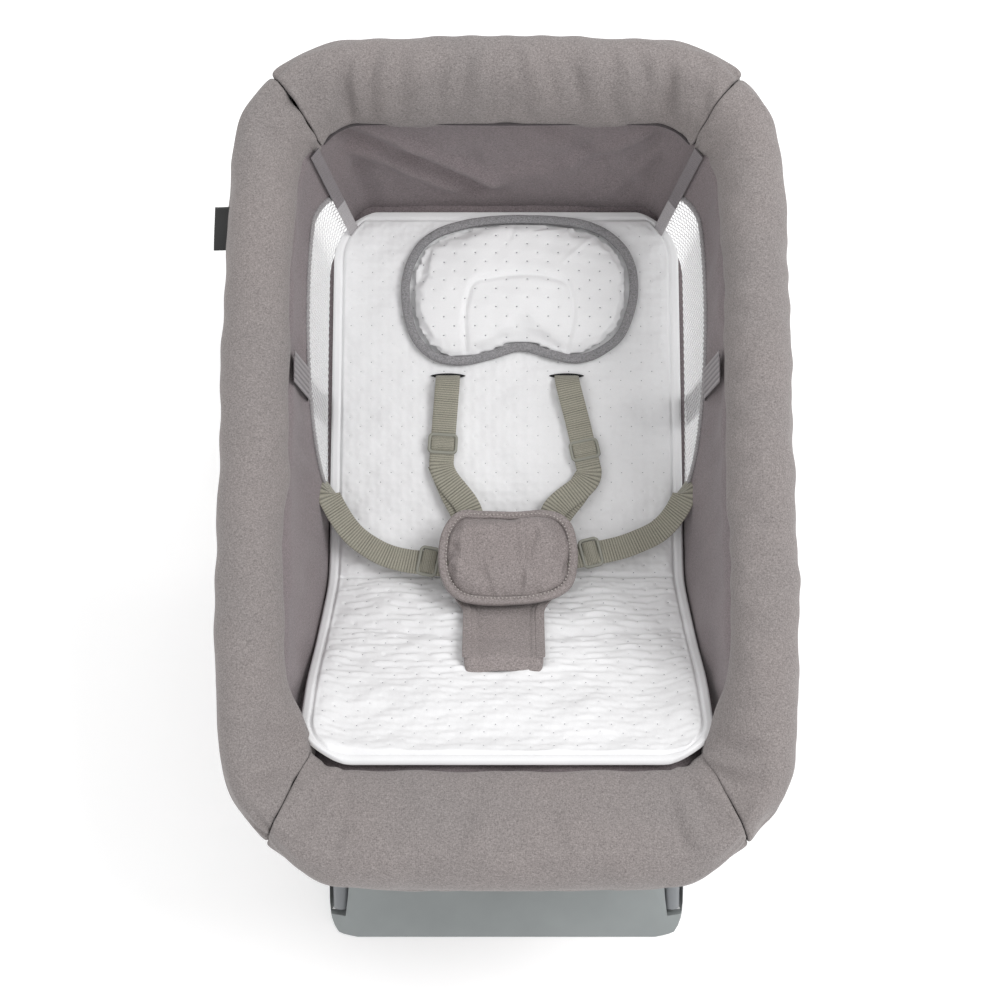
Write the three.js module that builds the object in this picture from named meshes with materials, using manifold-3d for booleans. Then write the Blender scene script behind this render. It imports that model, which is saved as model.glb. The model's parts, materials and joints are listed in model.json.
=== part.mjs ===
// Bouncer seat: a padded rim on a steel tube carries a deep fabric basket with a quilted liner and a
// harness. The rim hangs in two hubs on a folding A-frame of four leg tubes and two floor feet.
// Millimetres, +Z up, +Y towards the head end, origin on the floor under the middle of the object.
import * as THREE from 'three';
import { mergeVertices } from 'three/addons/utils/BufferGeometryUtils.js';
import { ConvexGeometry } from 'three/addons/geometries/ConvexGeometry.js';
import Module from 'manifold-3d';

const wasm = await Module();
wasm.setup();

// ---- driving dimensions -------------------------------------------------------------------------
const TILT = 19; // slope of the rim in degrees, head end up
const RIM_HEIGHT = 405.4; // middle of the rim above the floor
const RIM = { halfWidth: 235, halfLength: 372.5, corner: 92, tube: 10, pad: 31 };
const HUB = { along: 17, drop: 80 }; // hub axis in the seat frame: towards the head, below the rim
const FRONT = {
  lean: 47, hubX: 252, footX: 168, straight: 246, converged: 425, halfWidth: 180, socket: 37, padX: 112,
};
const REAR = {
  lean: 42, hubX: 234, footX: 146, straight: 205, converged: 388, halfWidth: 158, socket: 41, padX: 90,
};
const LEG_TUBE = 8.5; // radius of the leg tubes
const TUBE_WALL = 1.2;
const TUBE_END = 13.5; // where a leg tube ends, above the floor along the leg
const SOCKET = { radius: 12, end: 80, stop: 8 };
const FOOT = {
  height: 72, depth: 44, tubeDepth: 14, wall: 4, channel: 12, seat: 23, edge: 1,
  corner: 24, cornerRise: 36, cornerSteps: 7, facet: 42,
};
const PAD_FEET = { length: 60, width: 24, height: 3 };
const BASKET = {
  depth: 198, wall: 3, hipY: -100, lipY: -308, top: -12, split: 275,
  rimOutline: [[203, 262], [196, 300], [165, 332], [203, -280], [197, -308]],
  floorOutline: [[182, 250], [173, 284], [150, 302], [182, -100]],
};
const NET = { y: 163, z: -190, along: 168, up: 117, from: 165, through: 60 };
const BOARD = { width: 330, length: 374, corner: 40, thickness: 4, fromHip: 10, below: 1 };
const LINER = { thickness: 11, lift: 0.6, width: 352, length: 384, corner: 50, fromHip: 5 };
const LINER_LAP = { near: 8, nearHalf: 175, far: 262, farHalf: 189 };
const PILLOW = { x: 13.5, y: 207, width: 243, length: 158, corner: 62, thickness: 22, above: 1 };
const WEBBING = { width: 25, thickness: 1.8 };
const ADJUSTER = { width: 31, length: 21, height: 6, play: 1.6, onShoulder: 0.8, onWaist: 0.36 };
const CROTCH = { x: -3, topY: -116, topZ: -162, lowY: -184, lowZ: -101.2, width: 72, thickness: 3 };
const BUCKLE = {
  x: 4.5, y: -81, z: -147, tilt: -12, width: 131, length: 100, corner: 28, pad: 14,
  belowPad: 2, halfWidth: 24, low: -22, high: 28, thickness: 14,
};
const BUTTON = { halfWidth: 8, low: -8, high: 14, height: 5, proud: 1, travel: 3 };
const TONGUE = {
  depth: 14, halfWidth: 10, low: 5, high: 9, reach: 40, barFrom: 26, barTo: 50, barLow: -17, barHigh: 22,
};
const FAR = 600; // further than any face of the object
const GAP = 0.3; // clearance between pieces that touch
const HALF = 0.5;
const RIGHT_ANGLE = Math.PI / 2;

// positions of the layers of one hub, measured from the middle of the object along X
const LAYERS = {
  nut: [207, 213.5], bracket: [214, 221.5], ratchet: [222, 228],
  middle: [229, 239.5], outer: [242, 262], button: [255, 263],
};
const HUB_RADIUS = { bracket: 34, ratchet: 34, middle: 36, outer: 40, axle: 6, pocket: 15, nut: 10 };
const BRACKET = {
  halfArm: 17, halfSleeve: 27, sleeveInner: 19, sleeveOuter: 15, sleeveHeight: 14, armTop: 8,
};
const RATCHET = { teeth: 24, tooth: 3 };
const SPRING = { turns: 3, perTurn: 14, radius: 11.5, wire: 1, endGap: 1.5 };
const NECK = { half: 9, above: 14, below: 6 };
const RIM_NOTCH = { halfLength: 31, halfWidth: 24, top: 16, below: 5 };
const LATCH = { half: 12, halfDepth: 13, length: 24, gap: 0.5, boreEnd: 40 };

const SIDES = [['left', -1], ['right', 1]];

// ---- materials ----------------------------------------------------------------------------------
const material = (color, roughness, metalness = 0) =>
  new THREE.MeshStandardMaterial({ color, roughness, metalness });
const MATERIALS = {
  housing: material(0x8a8d8e, 0.45),
  tube: material(0x9a9d9f, 0.35, 0.7),
  steel: material(0xb4b6b8, 0.3, 1),
  rubber: material(0x2b2b2c, 0.9),
  melange: material(0x96918f, 0.95),
  lining: material(0x807675, 0.95),
  quilt: material(0xebebec, 0.9),
  net: material(0xf1f1f1, 0.8),
  board: material(0x3a3a3c, 0.7),
  webbing: material(0x8c8a7a, 0.85),
  clip: material(0x86867c, 0.5),
  button: material(0x75787a, 0.5),
};

// ---- helpers ------------------------------------------------------------------------------------
const radians = THREE.MathUtils.degToRad;
const vector = (x, y, z) => new THREE.Vector3(x, y, z);

/** A path through given stations, kept exactly where they are. */
class StationPath extends THREE.Curve {
  constructor(stations) {
    super();
    this.stations = stations;
  }

  getPoint(t) {
    const place = t * (this.stations.length - 1);
    const index = Math.min(Math.floor(place), this.stations.length - 2);
    return this.stations[index].clone().lerp(this.stations[index + 1], place - index);
  }

  getUtoTmapping(u) {
    return u;
  }
}

function sweep(shape, stations) {
  const extrudePath = new StationPath(stations);
  const options = { steps: stations.length - 1, bevelEnabled: false, extrudePath };
  return new THREE.ExtrudeGeometry(shape, options);
}

function ringOf(radius, sides) {
  return Array.from({ length: sides }, (_, i) => {
    const angle = (i * 2 * Math.PI) / sides;
    return new THREE.Vector2(radius * Math.cos(angle), radius * Math.sin(angle));
  });
}

function discShape(radius, sides, boreRadius = 0, boreSides = sides) {
  const shape = new THREE.Shape(ringOf(radius, sides));
  if (boreRadius > 0) {
    shape.holes.push(new THREE.Path(ringOf(boreRadius, boreSides)));
  }
  return shape;
}

/** Corners joined by straight runs, each inner corner rounded by a bend of the given radius. */
function bent(corners, radius, steps = 5) {
  const stations = [corners[0]];
  for (let i = 1; i < corners.length - 1; i += 1) {
    const back = corners[i - 1].clone().sub(corners[i]).normalize();
    const forth = corners[i + 1].clone().sub(corners[i]).normalize();
    const reach = radius / Math.tan(back.angleTo(forth) * HALF);
    const from = corners[i].clone().addScaledVector(back, reach);
    const to = corners[i].clone().addScaledVector(forth, reach);
    const curve = new THREE.QuadraticBezierCurve3(from, corners[i], to);
    stations.push(...curve.getPoints(steps));
  }
  stations.push(corners[corners.length - 1]);
  return stations;
}

function solid(geometry) {
  const bare = geometry.clone();
  bare.deleteAttribute('normal');
  bare.deleteAttribute('uv');
  const merged = mergeVertices(bare);
  return new wasm.Manifold(new wasm.Mesh({
    numProp: 3,
    vertProperties: new Float32Array(merged.attributes.position.array),
    triVerts: new Uint32Array(merged.index.array),
  }));
}

function geometryOf(manifold) {
  const mesh = manifold.getMesh();
  const geometry = new THREE.BufferGeometry();
  geometry.setAttribute('position', new THREE.BufferAttribute(mesh.vertProperties, 3));
  geometry.setIndex(new THREE.BufferAttribute(mesh.triVerts, 1));
  geometry.computeVertexNormals();
  return geometry;
}

const hullSolid = (points) => solid(new ConvexGeometry(points));

function boxSolid(low, high) {
  const size = high.map((value, i) => value - low[i]);
  const geometry = new THREE.BoxGeometry(...size);
  geometry.translate(...low.map((value, i) => value + size[i] * HALF));
  return solid(geometry);
}

function rodGeometry(from, to, radius, sides = 20) {
  const along = to.clone().sub(from);
  const geometry = new THREE.CylinderGeometry(radius, radius, along.length(), sides);
  const turn = new THREE.Quaternion().setFromUnitVectors(vector(0, 1, 0), along.clone().normalize());
  geometry.applyQuaternion(turn);
  geometry.translate(...from.clone().add(to).multiplyScalar(HALF).toArray());
  return geometry;
}

const rodSolid = (from, to, radius, sides) => solid(rodGeometry(from, to, radius, sides));

/** A rod along X between two distances from the middle, on one side of the object. */
function crossRod(side, layer, radius, sides = 28) {
  return rodSolid(vector(side * layer[0], 0, 0), vector(side * layer[1], 0, 0), radius, sides);
}

/** A flat strap of constant width along a polyline, its face turned up. */
function ribbon(points, width, thickness) {
  const up = vector(0, 0, 1);
  const corners = [];
  points.forEach((point, i) => {
    const before = points[Math.max(i - 1, 0)];
    const after = points[Math.min(i + 1, points.length - 1)];
    const along = after.clone().sub(before).normalize();
    const across = along.clone().cross(up).normalize();
    const normal = across.clone().cross(along);
    [[1, 1], [-1, 1], [-1, -1], [1, -1]].forEach(([a, n]) => {
      corners.push(point.clone()
        .addScaledVector(across, a * width * HALF)
        .addScaledVector(normal, n * thickness * HALF));
    });
  });
  const last = corners.length - 4;
  const index = [0, 1, 2, 0, 2, 3, last, last + 2, last + 1, last, last + 3, last + 2];
  for (let ring = 0; ring < last; ring += 4) {
    for (let k = 0; k < 4; k += 1) {
      const next = (k + 1) % 4;
      index.push(ring + k, ring + 4 + k, ring + 4 + next, ring + k, ring + 4 + next, ring + next);
    }
  }
  const geometry = new THREE.BufferGeometry().setFromPoints(corners);
  geometry.setIndex(index);
  geometry.computeVertexNormals();
  return geometry;
}

function roundedRectangle(width, length, radius, steps = 5) {
  const points = [];
  const centres = [[1, 1], [-1, 1], [-1, -1], [1, -1]];
  centres.forEach(([sx, sy], corner) => {
    for (let i = 0; i <= steps; i += 1) {
      const angle = RIGHT_ANGLE * (corner + i / steps);
      points.push(new THREE.Vector2(
        sx * (width * HALF - radius) + radius * Math.cos(angle),
        sy * (length * HALF - radius) + radius * Math.sin(angle),
      ));
    }
  });
  return new THREE.Shape(points);
}

function slab(shape, depth) {
  return new THREE.ExtrudeGeometry(shape, { depth, bevelEnabled: false });
}

function add(group, name, geometry, slot) {
  const mesh = new THREE.Mesh(geometry, MATERIALS[slot]);
  mesh.name = name;
  group.add(mesh);
  return mesh;
}

// ---- rim: two steel tube halves and four foam sleeves -------------------------------------------
/** Stations of the rim's centre line between two angles, 0 at the right side and 90 at the head. */
function rimCorner(sx, sy, fromDegrees, toDegrees, steps) {
  const centre = [sx * (RIM.halfWidth - RIM.corner), sy * (RIM.halfLength - RIM.corner)];
  return Array.from({ length: steps + 1 }, (_, i) => {
    const angle = radians(fromDegrees + ((toDegrees - fromDegrees) * i) / steps);
    return vector(
      centre[0] + RIM.corner * Math.cos(angle),
      centre[1] + RIM.corner * Math.sin(angle),
      0,
    );
  });
}

function rimTube(end) {
  const start = HUB.along + end * HALF;
  const corners = end > 0
    ? [...rimCorner(1, 1, 0, 90, 8), ...rimCorner(-1, 1, 90, 180, 8)]
    : [...rimCorner(1, -1, 0, -90, 8), ...rimCorner(-1, -1, -90, -180, 8)];
  const ends = [vector(RIM.halfWidth, start, 0), vector(-RIM.halfWidth, start, 0)];
  return sweep(discShape(RIM.tube, 12, RIM.tube - TUBE_WALL), [ends[0], ...corners, ends[1]]);
}

function padSection() {
  return discShape(RIM.pad, 16, RIM.tube + 2 * GAP, 12);
}

function endPad(end) {
  const stations = end > 0
    ? [...rimCorner(1, 1, 48, 90, 4), ...rimCorner(-1, 1, 90, 132, 4)]
    : [...rimCorner(1, -1, -48, -90, 4), ...rimCorner(-1, -1, -90, -132, 4)];
  return sweep(padSection(), stations);
}

function sidePad(side) {
  const head = rimCorner(side, 1, side > 0 ? 42 : 138, side > 0 ? 0 : 180, 4);
  const foot = rimCorner(side, -1, side > 0 ? 0 : 180, side > 0 ? -42 : 222, 4);
  const whole = solid(sweep(padSection(), [...head, ...foot]));
  const middle = side * RIM.halfWidth;
  const notch = boxSolid(
    [middle - RIM_NOTCH.halfWidth, HUB.along - RIM_NOTCH.halfLength, -RIM.pad - RIM_NOTCH.below],
    [middle + RIM_NOTCH.halfWidth, HUB.along + RIM_NOTCH.halfLength, RIM_NOTCH.top],
  );
  return geometryOf(whole.subtract(notch));
}

function addRim(seat) {
  add(seat, 'rim_tube_head', rimTube(1), 'tube');
  add(seat, 'rim_tube_foot', rimTube(-1), 'tube');
  add(seat, 'rim_pad_head', endPad(1), 'melange');
  add(seat, 'rim_pad_foot', endPad(-1), 'melange');
  SIDES.forEach(([name, side]) => add(seat, `rim_pad_${name}`, sidePad(side), 'melange'));
}

// ---- basket: walls, net windows and floor, all cut from one thin shell --------------------------
/** Outline of the basket, drawn in by `inset`. */
function basketPoints(inset) {
  const bottom = -BASKET.depth - BASKET.wall + inset;
  const layers = [[BASKET.rimOutline, BASKET.top], [BASKET.floorOutline, bottom]];
  return layers.flatMap(([outline, z]) => outline.flatMap(([x, y]) => {
    const inY = y - Math.sign(y) * inset;
    return [vector(x - inset, inY, z), vector(inset - x, inY, z)];
  }));
}

function raised(points, lift) {
  return points.filter((point) => point.z === BASKET.top).map((point) => point.clone().setZ(lift));
}

function basketShell() {
  const inner = basketPoints(BASKET.wall);
  const cavity = hullSolid([...inner, ...raised(inner, RIM.pad)]);
  return hullSolid(basketPoints(0)).subtract(cavity);
}

/** All that lies under the inner faces of the floor: flat behind the hip, rising to the lip before it. */
function belowFloor(drop) {
  const reach = 2 * RIM.halfLength;
  const hip = { y: BASKET.hipY + BASKET.wall, z: -BASKET.depth - drop };
  const lip = { y: BASKET.lipY + BASKET.wall, z: BASKET.top };
  const rise = (lip.z - hip.z) / (lip.y - hip.y);
  const shape = new THREE.Shape();
  shape.moveTo(-reach, hip.z + rise * (-reach - hip.y));
  shape.lineTo(hip.y, hip.z);
  shape.lineTo(reach, hip.z);
  shape.lineTo(reach, -reach);
  shape.lineTo(-reach, -reach);
  const geometry = new THREE.ExtrudeGeometry(shape, { depth: reach, bevelEnabled: false });
  geometry.rotateX(RIGHT_ANGLE);
  geometry.rotateZ(RIGHT_ANGLE);
  geometry.translate(-reach * HALF, 0, 0);
  return solid(geometry);
}

/** The arched opening of one side, right through the wall; `inset` makes a smaller one for its net. */
function windowPrism(side, inset) {
  const shape = new THREE.Shape();
  shape.absellipse(NET.y, NET.z + inset, NET.along - inset, NET.up - 2 * inset, 0, Math.PI, false);
  const options = { depth: NET.through, bevelEnabled: false, curveSegments: 12 };
  const geometry = new THREE.ExtrudeGeometry(shape, options);
  geometry.rotateX(RIGHT_ANGLE);
  geometry.rotateZ(RIGHT_ANGLE);
  geometry.translate(side > 0 ? NET.from : -NET.from - NET.through, 0, 0);
  return solid(geometry);
}

function addBasket(seat) {
  const shell = basketShell();
  const walls = shell.subtract(belowFloor(0));
  const floor = shell.intersect(belowFloor(GAP));
  const headBox = boxSolid([-FAR, BASKET.split + GAP, -FAR], [FAR, FAR, FAR]);
  add(seat, 'head_wall', geometryOf(walls.intersect(headBox)), 'lining');
  SIDES.forEach(([name, side]) => {
    const x = side > 0 ? [0, FAR] : [-FAR, 0];
    const foot = boxSolid([-FAR, -FAR, -FAR], [FAR, BASKET.split - GAP, FAR]);
    const half = walls.intersect(foot).intersect(boxSolid([x[0], -FAR, -FAR], [x[1], FAR, FAR]));
    const wall = half.subtract(windowPrism(side, 0));
    const net = half.intersect(windowPrism(side, GAP));
    add(seat, `side_wall_${name}`, geometryOf(wall), 'lining');
    add(seat, `mesh_window_${name}`, geometryOf(net), 'net');
  });
  const behind = boxSolid([-FAR, BASKET.hipY + GAP, -FAR], [FAR, FAR, FAR]);
  const before = boxSolid([-FAR, -FAR, -FAR], [FAR, BASKET.hipY - GAP, FAR]);
  add(seat, 'basket_floor_back', geometryOf(floor.intersect(behind)), 'lining');
  add(seat, 'basket_floor_seat', geometryOf(floor.intersect(before)), 'lining');
}

function addBoard(seat) {
  const board = slab(roundedRectangle(BOARD.width, BOARD.length, BOARD.corner), BOARD.thickness);
  const y = BASKET.hipY + BOARD.fromHip + BOARD.length * HALF;
  const z = -BASKET.depth - BASKET.wall - BOARD.below - BOARD.thickness;
  add(seat, 'backrest_board', board, 'board').position.set(0, y, z);
}

// ---- liner and head pillow ----------------------------------------------------------------------
function addLiner(seat) {
  const back = slab(roundedRectangle(LINER.width, LINER.length, LINER.corner), LINER.thickness);
  const y = BASKET.hipY + LINER.fromHip + LINER.length * HALF;
  add(seat, 'liner_back', back, 'quilt').position.set(0, y, -BASKET.depth + LINER.lift);

  const hip = vector(0, BASKET.hipY + BASKET.wall, -BASKET.depth);
  const lip = vector(0, BASKET.lipY + BASKET.wall, BASKET.top);
  const along = lip.clone().sub(hip).normalize();
  const normal = vector(0, along.z, -along.y);
  const corner = (x, reach, lift) => hip.clone()
    .addScaledVector(along, reach)
    .addScaledVector(normal, lift)
    .setX(x);
  const ends = [[LINER_LAP.near, LINER_LAP.nearHalf], [LINER_LAP.far, LINER_LAP.farHalf]];
  const points = ends.flatMap(([reach, halfWidth]) => [-halfWidth, halfWidth].flatMap((x) =>
    [LINER.lift, LINER.lift + LINER.thickness].map((lift) => corner(x, reach, lift))));
  add(seat, 'liner_seat', new ConvexGeometry(points), 'quilt');
}

function addPillow(seat) {
  const pillow = slab(roundedRectangle(PILLOW.width, PILLOW.length, PILLOW.corner), PILLOW.thickness);
  const z = -BASKET.depth + LINER.lift + LINER.thickness + PILLOW.above;
  add(seat, 'head_pillow', pillow, 'quilt').position.set(PILLOW.x, PILLOW.y, z);
}

// ---- harness ------------------------------------------------------------------------------------
/** A flat loop that the webbing runs through, its length along +Y. */
function adjusterGeometry() {
  const shape = roundedRectangle(ADJUSTER.width, ADJUSTER.height, 1.5, 2);
  const slot = roundedRectangle(WEBBING.width + ADJUSTER.play, WEBBING.thickness + ADJUSTER.play, 0.6, 1);
  shape.holes.push(new THREE.Path(slot.getPoints()));
  const geometry = slab(shape, ADJUSTER.length);
  geometry.translate(0, 0, -ADJUSTER.length * HALF);
  geometry.rotateX(RIGHT_ANGLE);
  return geometry;
}

/** Turns a loop so that its length follows the run from `from` to `to`, and puts it at `place`. */
function addAdjuster(seat, name, from, to, place) {
  const along = to.clone().sub(from).normalize();
  const across = along.clone().cross(vector(0, 0, 1)).normalize();
  const normal = across.clone().cross(along);
  const mesh = add(seat, name, adjusterGeometry(), 'clip');
  const basis = new THREE.Matrix4().makeBasis(across, along, normal);
  mesh.quaternion.setFromRotationMatrix(basis);
  mesh.position.copy(from.clone().lerp(to, place));
}

const SHOULDER = {
  left: [vector(-60, 118, -182.5), vector(-66, 24, -179), vector(-36, -32, -171), vector(-33, -52, -169)],
  right: [vector(62, 118, -182.5), vector(84, 16, -179), vector(46, -32, -171), vector(42, -52, -169)],
};
const WAIST = {
  left: [vector(-171, -29, -161), vector(-152, -54, -171), vector(-128, -70, -173), vector(-50, -86, -167)],
  right: [vector(171, -29, -161), vector(154, -48, -171), vector(130, -60, -173), vector(59, -78, -167)],
};

function addHarness(seat) {
  SIDES.forEach(([name]) => {
    const shoulder = SHOULDER[name];
    const waist = WAIST[name];
    add(seat, `shoulder_strap_${name}`, ribbon(shoulder, WEBBING.width, WEBBING.thickness), 'webbing');
    add(seat, `waist_strap_${name}`, ribbon(waist, WEBBING.width, WEBBING.thickness), 'webbing');
    addAdjuster(seat, `shoulder_adjuster_${name}`, shoulder[0], shoulder[1], ADJUSTER.onShoulder);
    addAdjuster(seat, `waist_adjuster_${name}`, waist[3], waist[2], ADJUSTER.onWaist);
  });
  const crotch = [
    vector(CROTCH.x, CROTCH.topY, CROTCH.topZ),
    vector(CROTCH.x, CROTCH.lowY, CROTCH.lowZ),
  ];
  add(seat, 'crotch_strap', ribbon(crotch, CROTCH.width, CROTCH.thickness), 'melange');
}

/** The two ends of a span on one side of the middle, in rising order. */
const mirrored = (side, from, to) => [from * side, to * side].sort((a, b) => a - b);

function buckleTongue(side, low, high) {
  const blade = mirrored(side, BUCKLE.halfWidth - TONGUE.depth + GAP, TONGUE.reach);
  const bar = mirrored(side, TONGUE.barFrom, TONGUE.barTo);
  const half = TONGUE.halfWidth - GAP;
  return boxSolid([blade[0], -half, low], [blade[1], half, high])
    .add(boxSolid([bar[0], TONGUE.barLow, low], [bar[1], TONGUE.barHigh, high]));
}

/** The buckle lies on the lap; its own frame has the cover's middle at the origin. */
function addBuckle(seat) {
  const group = new THREE.Group();
  group.position.set(BUCKLE.x, BUCKLE.y, BUCKLE.z);
  group.rotation.x = radians(BUCKLE.tilt);
  seat.add(group);

  const cover = slab(roundedRectangle(BUCKLE.width, BUCKLE.length, BUCKLE.corner), BUCKLE.pad);
  add(group, 'buckle_cover', cover, 'melange').position.z = -BUCKLE.pad * HALF;

  const top = -BUCKLE.pad * HALF - BUCKLE.belowPad;
  const bottom = top - BUCKLE.thickness;
  const slot = [bottom + TONGUE.low, bottom + TONGUE.high];
  const whole = boxSolid([-BUCKLE.halfWidth, BUCKLE.low, bottom], [BUCKLE.halfWidth, BUCKLE.high, top]);
  const pocketFloor = top + BUTTON.proud - BUTTON.height - BUTTON.travel - 1;
  let body = whole.subtract(boxSolid(
    [-BUTTON.halfWidth - GAP, BUTTON.low - GAP, pocketFloor],
    [BUTTON.halfWidth + GAP, BUTTON.high + GAP, top + BUTTON.height],
  ));
  SIDES.forEach(([name, side]) => {
    const x = mirrored(side, BUCKLE.halfWidth - TONGUE.depth, TONGUE.reach);
    body = body.subtract(boxSolid([x[0], -TONGUE.halfWidth, slot[0]], [x[1], TONGUE.halfWidth, slot[1]]));
    const tongue = buckleTongue(side, slot[0] + GAP, slot[1] - GAP);
    add(group, `buckle_tongue_${name}`, geometryOf(tongue), 'clip');
  });
  add(group, 'buckle_body', geometryOf(body), 'clip');
  const press = boxSolid(
    [-BUTTON.halfWidth, BUTTON.low, top + BUTTON.proud - BUTTON.height],
    [BUTTON.halfWidth, BUTTON.high, top + BUTTON.proud],
  );
  add(group, 'buckle_button', geometryOf(press), 'button');
}

// ---- hubs ---------------------------------------------------------------------------------------
function seatBracket(side) {
  const plate = crossRod(side, LAYERS.bracket, HUB_RADIUS.bracket);
  const x = mirrored(side, ...LAYERS.bracket);
  const sleeveX = mirrored(side, RIM.halfWidth - BRACKET.sleeveInner, RIM.halfWidth + BRACKET.sleeveOuter);
  const arm = boxSolid([x[0], -BRACKET.halfArm, 0], [x[1], BRACKET.halfArm, HUB.drop - BRACKET.armTop]);
  const sleeve = boxSolid(
    [sleeveX[0], -BRACKET.halfSleeve, HUB.drop - BRACKET.sleeveHeight],
    [sleeveX[1], BRACKET.halfSleeve, HUB.drop + BRACKET.sleeveHeight],
  );
  const tubeX = side * RIM.halfWidth;
  const past = 2 * BRACKET.halfSleeve;
  const bore = rodSolid(vector(tubeX, -past, HUB.drop), vector(tubeX, past, HUB.drop), RIM.tube + GAP, 24);
  const axleBore = crossRod(side, [LAYERS.nut[0], LAYERS.ratchet[1]], HUB_RADIUS.axle + GAP, 24);
  return geometryOf(plate.add(arm).add(sleeve).subtract(bore).subtract(axleBore));
}

function ratchetDisc(side) {
  const outline = Array.from({ length: RATCHET.teeth * 2 }, (_, i) => {
    const radius = HUB_RADIUS.ratchet - (i % 2) * RATCHET.tooth;
    const angle = (i * Math.PI) / RATCHET.teeth;
    return new THREE.Vector2(radius * Math.cos(angle), radius * Math.sin(angle));
  });
  const shape = new THREE.Shape(outline);
  shape.holes.push(new THREE.Path(ringOf(HUB_RADIUS.axle + GAP, 20)));
  const geometry = slab(shape, LAYERS.ratchet[1] - LAYERS.ratchet[0]);
  geometry.rotateY(RIGHT_ANGLE);
  geometry.translate(side > 0 ? LAYERS.ratchet[0] : -LAYERS.ratchet[1], 0, 0);
  return geometry;
}

function bounceSpring(side) {
  const { turns, perTurn, radius, wire, endGap } = SPRING;
  const from = LAYERS.middle[0] + endGap;
  const pitch = (LAYERS.middle[1] - LAYERS.middle[0] - 2 * endGap) / turns;
  const stations = Array.from({ length: turns * perTurn + 1 }, (_, i) => {
    const angle = (i * 2 * Math.PI) / perTurn;
    const x = side * (from + (pitch * i) / perTurn);
    return vector(x, radius * Math.cos(angle), radius * Math.sin(angle));
  });
  return sweep(discShape(wire, 6), stations);
}

/** A disc with a socket that holds a leg tube; the leg runs down from the hub along local -Z. */
function legHub(side, layer, discRadius, leg) {
  const socketStart = leg.socket;
  const x = side * leg.hubX;
  const neckX = mirrored(side, ...layer);
  const socket = rodSolid(vector(x, 0, -socketStart), vector(x, 0, -SOCKET.end), SOCKET.radius, 24);
  const neck = boxSolid(
    [neckX[0], -NECK.half, -socketStart - NECK.below],
    [neckX[1], NECK.half, -socketStart + NECK.above],
  );
  const boreFrom = vector(x, 0, -socketStart - SOCKET.stop);
  const bore = rodSolid(boreFrom, vector(x, 0, -SOCKET.end - 5), LEG_TUBE + GAP, 16);
  return crossRod(side, layer, discRadius).add(neck).add(socket).subtract(bore);
}

function outerHub(side) {
  const axleBore = crossRod(side, [LAYERS.nut[0], LAYERS.button[0] + 1], HUB_RADIUS.axle + GAP, 24);
  const pocket = crossRod(side, [LAYERS.button[0] - 5, LAYERS.outer[1] + 5], HUB_RADIUS.pocket, 28);
  return geometryOf(legHub(side, LAYERS.outer, HUB_RADIUS.outer, FRONT)
    .subtract(axleBore)
    .subtract(pocket));
}

function middleHub(side) {
  const springBore = crossRod(side, [LAYERS.ratchet[0], LAYERS.button[0]], HUB_RADIUS.pocket + 1, 28);
  return geometryOf(legHub(side, LAYERS.middle, HUB_RADIUS.middle, REAR).subtract(springBore));
}

function axle(side) {
  const pin = crossRod(side, [LAYERS.nut[0], LAYERS.button[0] - 5.5], HUB_RADIUS.axle, 20);
  return geometryOf(pin.add(crossRod(side, LAYERS.nut, HUB_RADIUS.nut, 6)));
}

function addSeatHubs(seat) {
  const group = new THREE.Group();
  group.position.set(0, HUB.along, -HUB.drop);
  seat.add(group);
  SIDES.forEach(([name, side]) => {
    add(group, `seat_bracket_${name}`, seatBracket(side), 'housing');
    add(group, `ratchet_disc_${name}`, ratchetDisc(side), 'steel');
    add(group, `bounce_spring_${name}`, bounceSpring(side), 'steel');
  });
}

// ---- legs and floor feet ------------------------------------------------------------------------
function legTube(side, leg) {
  const start = leg.socket + SOCKET.stop + GAP;
  const corners = [
    vector(side * leg.hubX, 0, -start),
    vector(side * leg.hubX, 0, -leg.straight),
    vector(side * leg.footX, 0, -leg.converged),
    vector(side * leg.footX, 0, TUBE_END - legLength(leg)),
  ];
  return sweep(discShape(LEG_TUBE, 12, LEG_TUBE - TUBE_WALL), bent(corners, 60));
}

/**
 * Points of a foot in the leg's own frame: `depth` behind its sloping face, `rise` along that face
 * from the floor. `outward` is the local Y direction of the face.
 */
function footPoint(leg, outward) {
  const floorShift = FOOT.tubeDepth * Math.tan(radians(leg.lean));
  return (x, depth, rise) =>
    vector(x, outward * (FOOT.tubeDepth - depth), rise - floorShift - legLength(leg));
}

/** The rounded lower corner of a foot's face, from the floor up to its side. */
function roundedCorner(half) {
  return Array.from({ length: FOOT.cornerSteps + 1 }, (_, i) => {
    const turn = (RIGHT_ANGLE * i) / FOOT.cornerSteps;
    return [
      half - FOOT.corner * (1 - Math.sin(turn)),
      1 + (FOOT.tubeDepth - 1) * (1 - Math.cos(turn)),
      FOOT.cornerRise * (1 - Math.cos(turn)) - 2,
    ];
  });
}

function footOutline(leg) {
  const half = leg.halfWidth;
  const top = FOOT.height;
  const back = FOOT.depth;
  return [
    [half - 28, 0, -2], [half - FOOT.facet + 4, 0, top - 5], [half - FOOT.facet, 4, top],
    ...roundedCorner(half), [half, FOOT.tubeDepth, top - 4],
    [half - 4, 18, top], [half - 4, back - 5, top], [half - 6, back, top - 5],
    [half, back - 6, top - 6], [half - 6, back, 10], [half, back - 6, 10],
  ];
}

/** The hollow inside a foot, open towards the floor; `inset` makes a smaller one for its lid. */
function footHollow(leg, outward, inset) {
  const place = footPoint(leg, outward);
  const x = leg.footX - FOOT.channel - 8 - inset;
  return hullSolid([FOOT.wall + inset, FOOT.depth - FOOT.wall - inset].flatMap((depth) =>
    [-x, x].flatMap((across) =>
      [-30, FOOT.height - FOOT.wall - inset].map((rise) => place(across, depth, rise)))));
}

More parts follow.
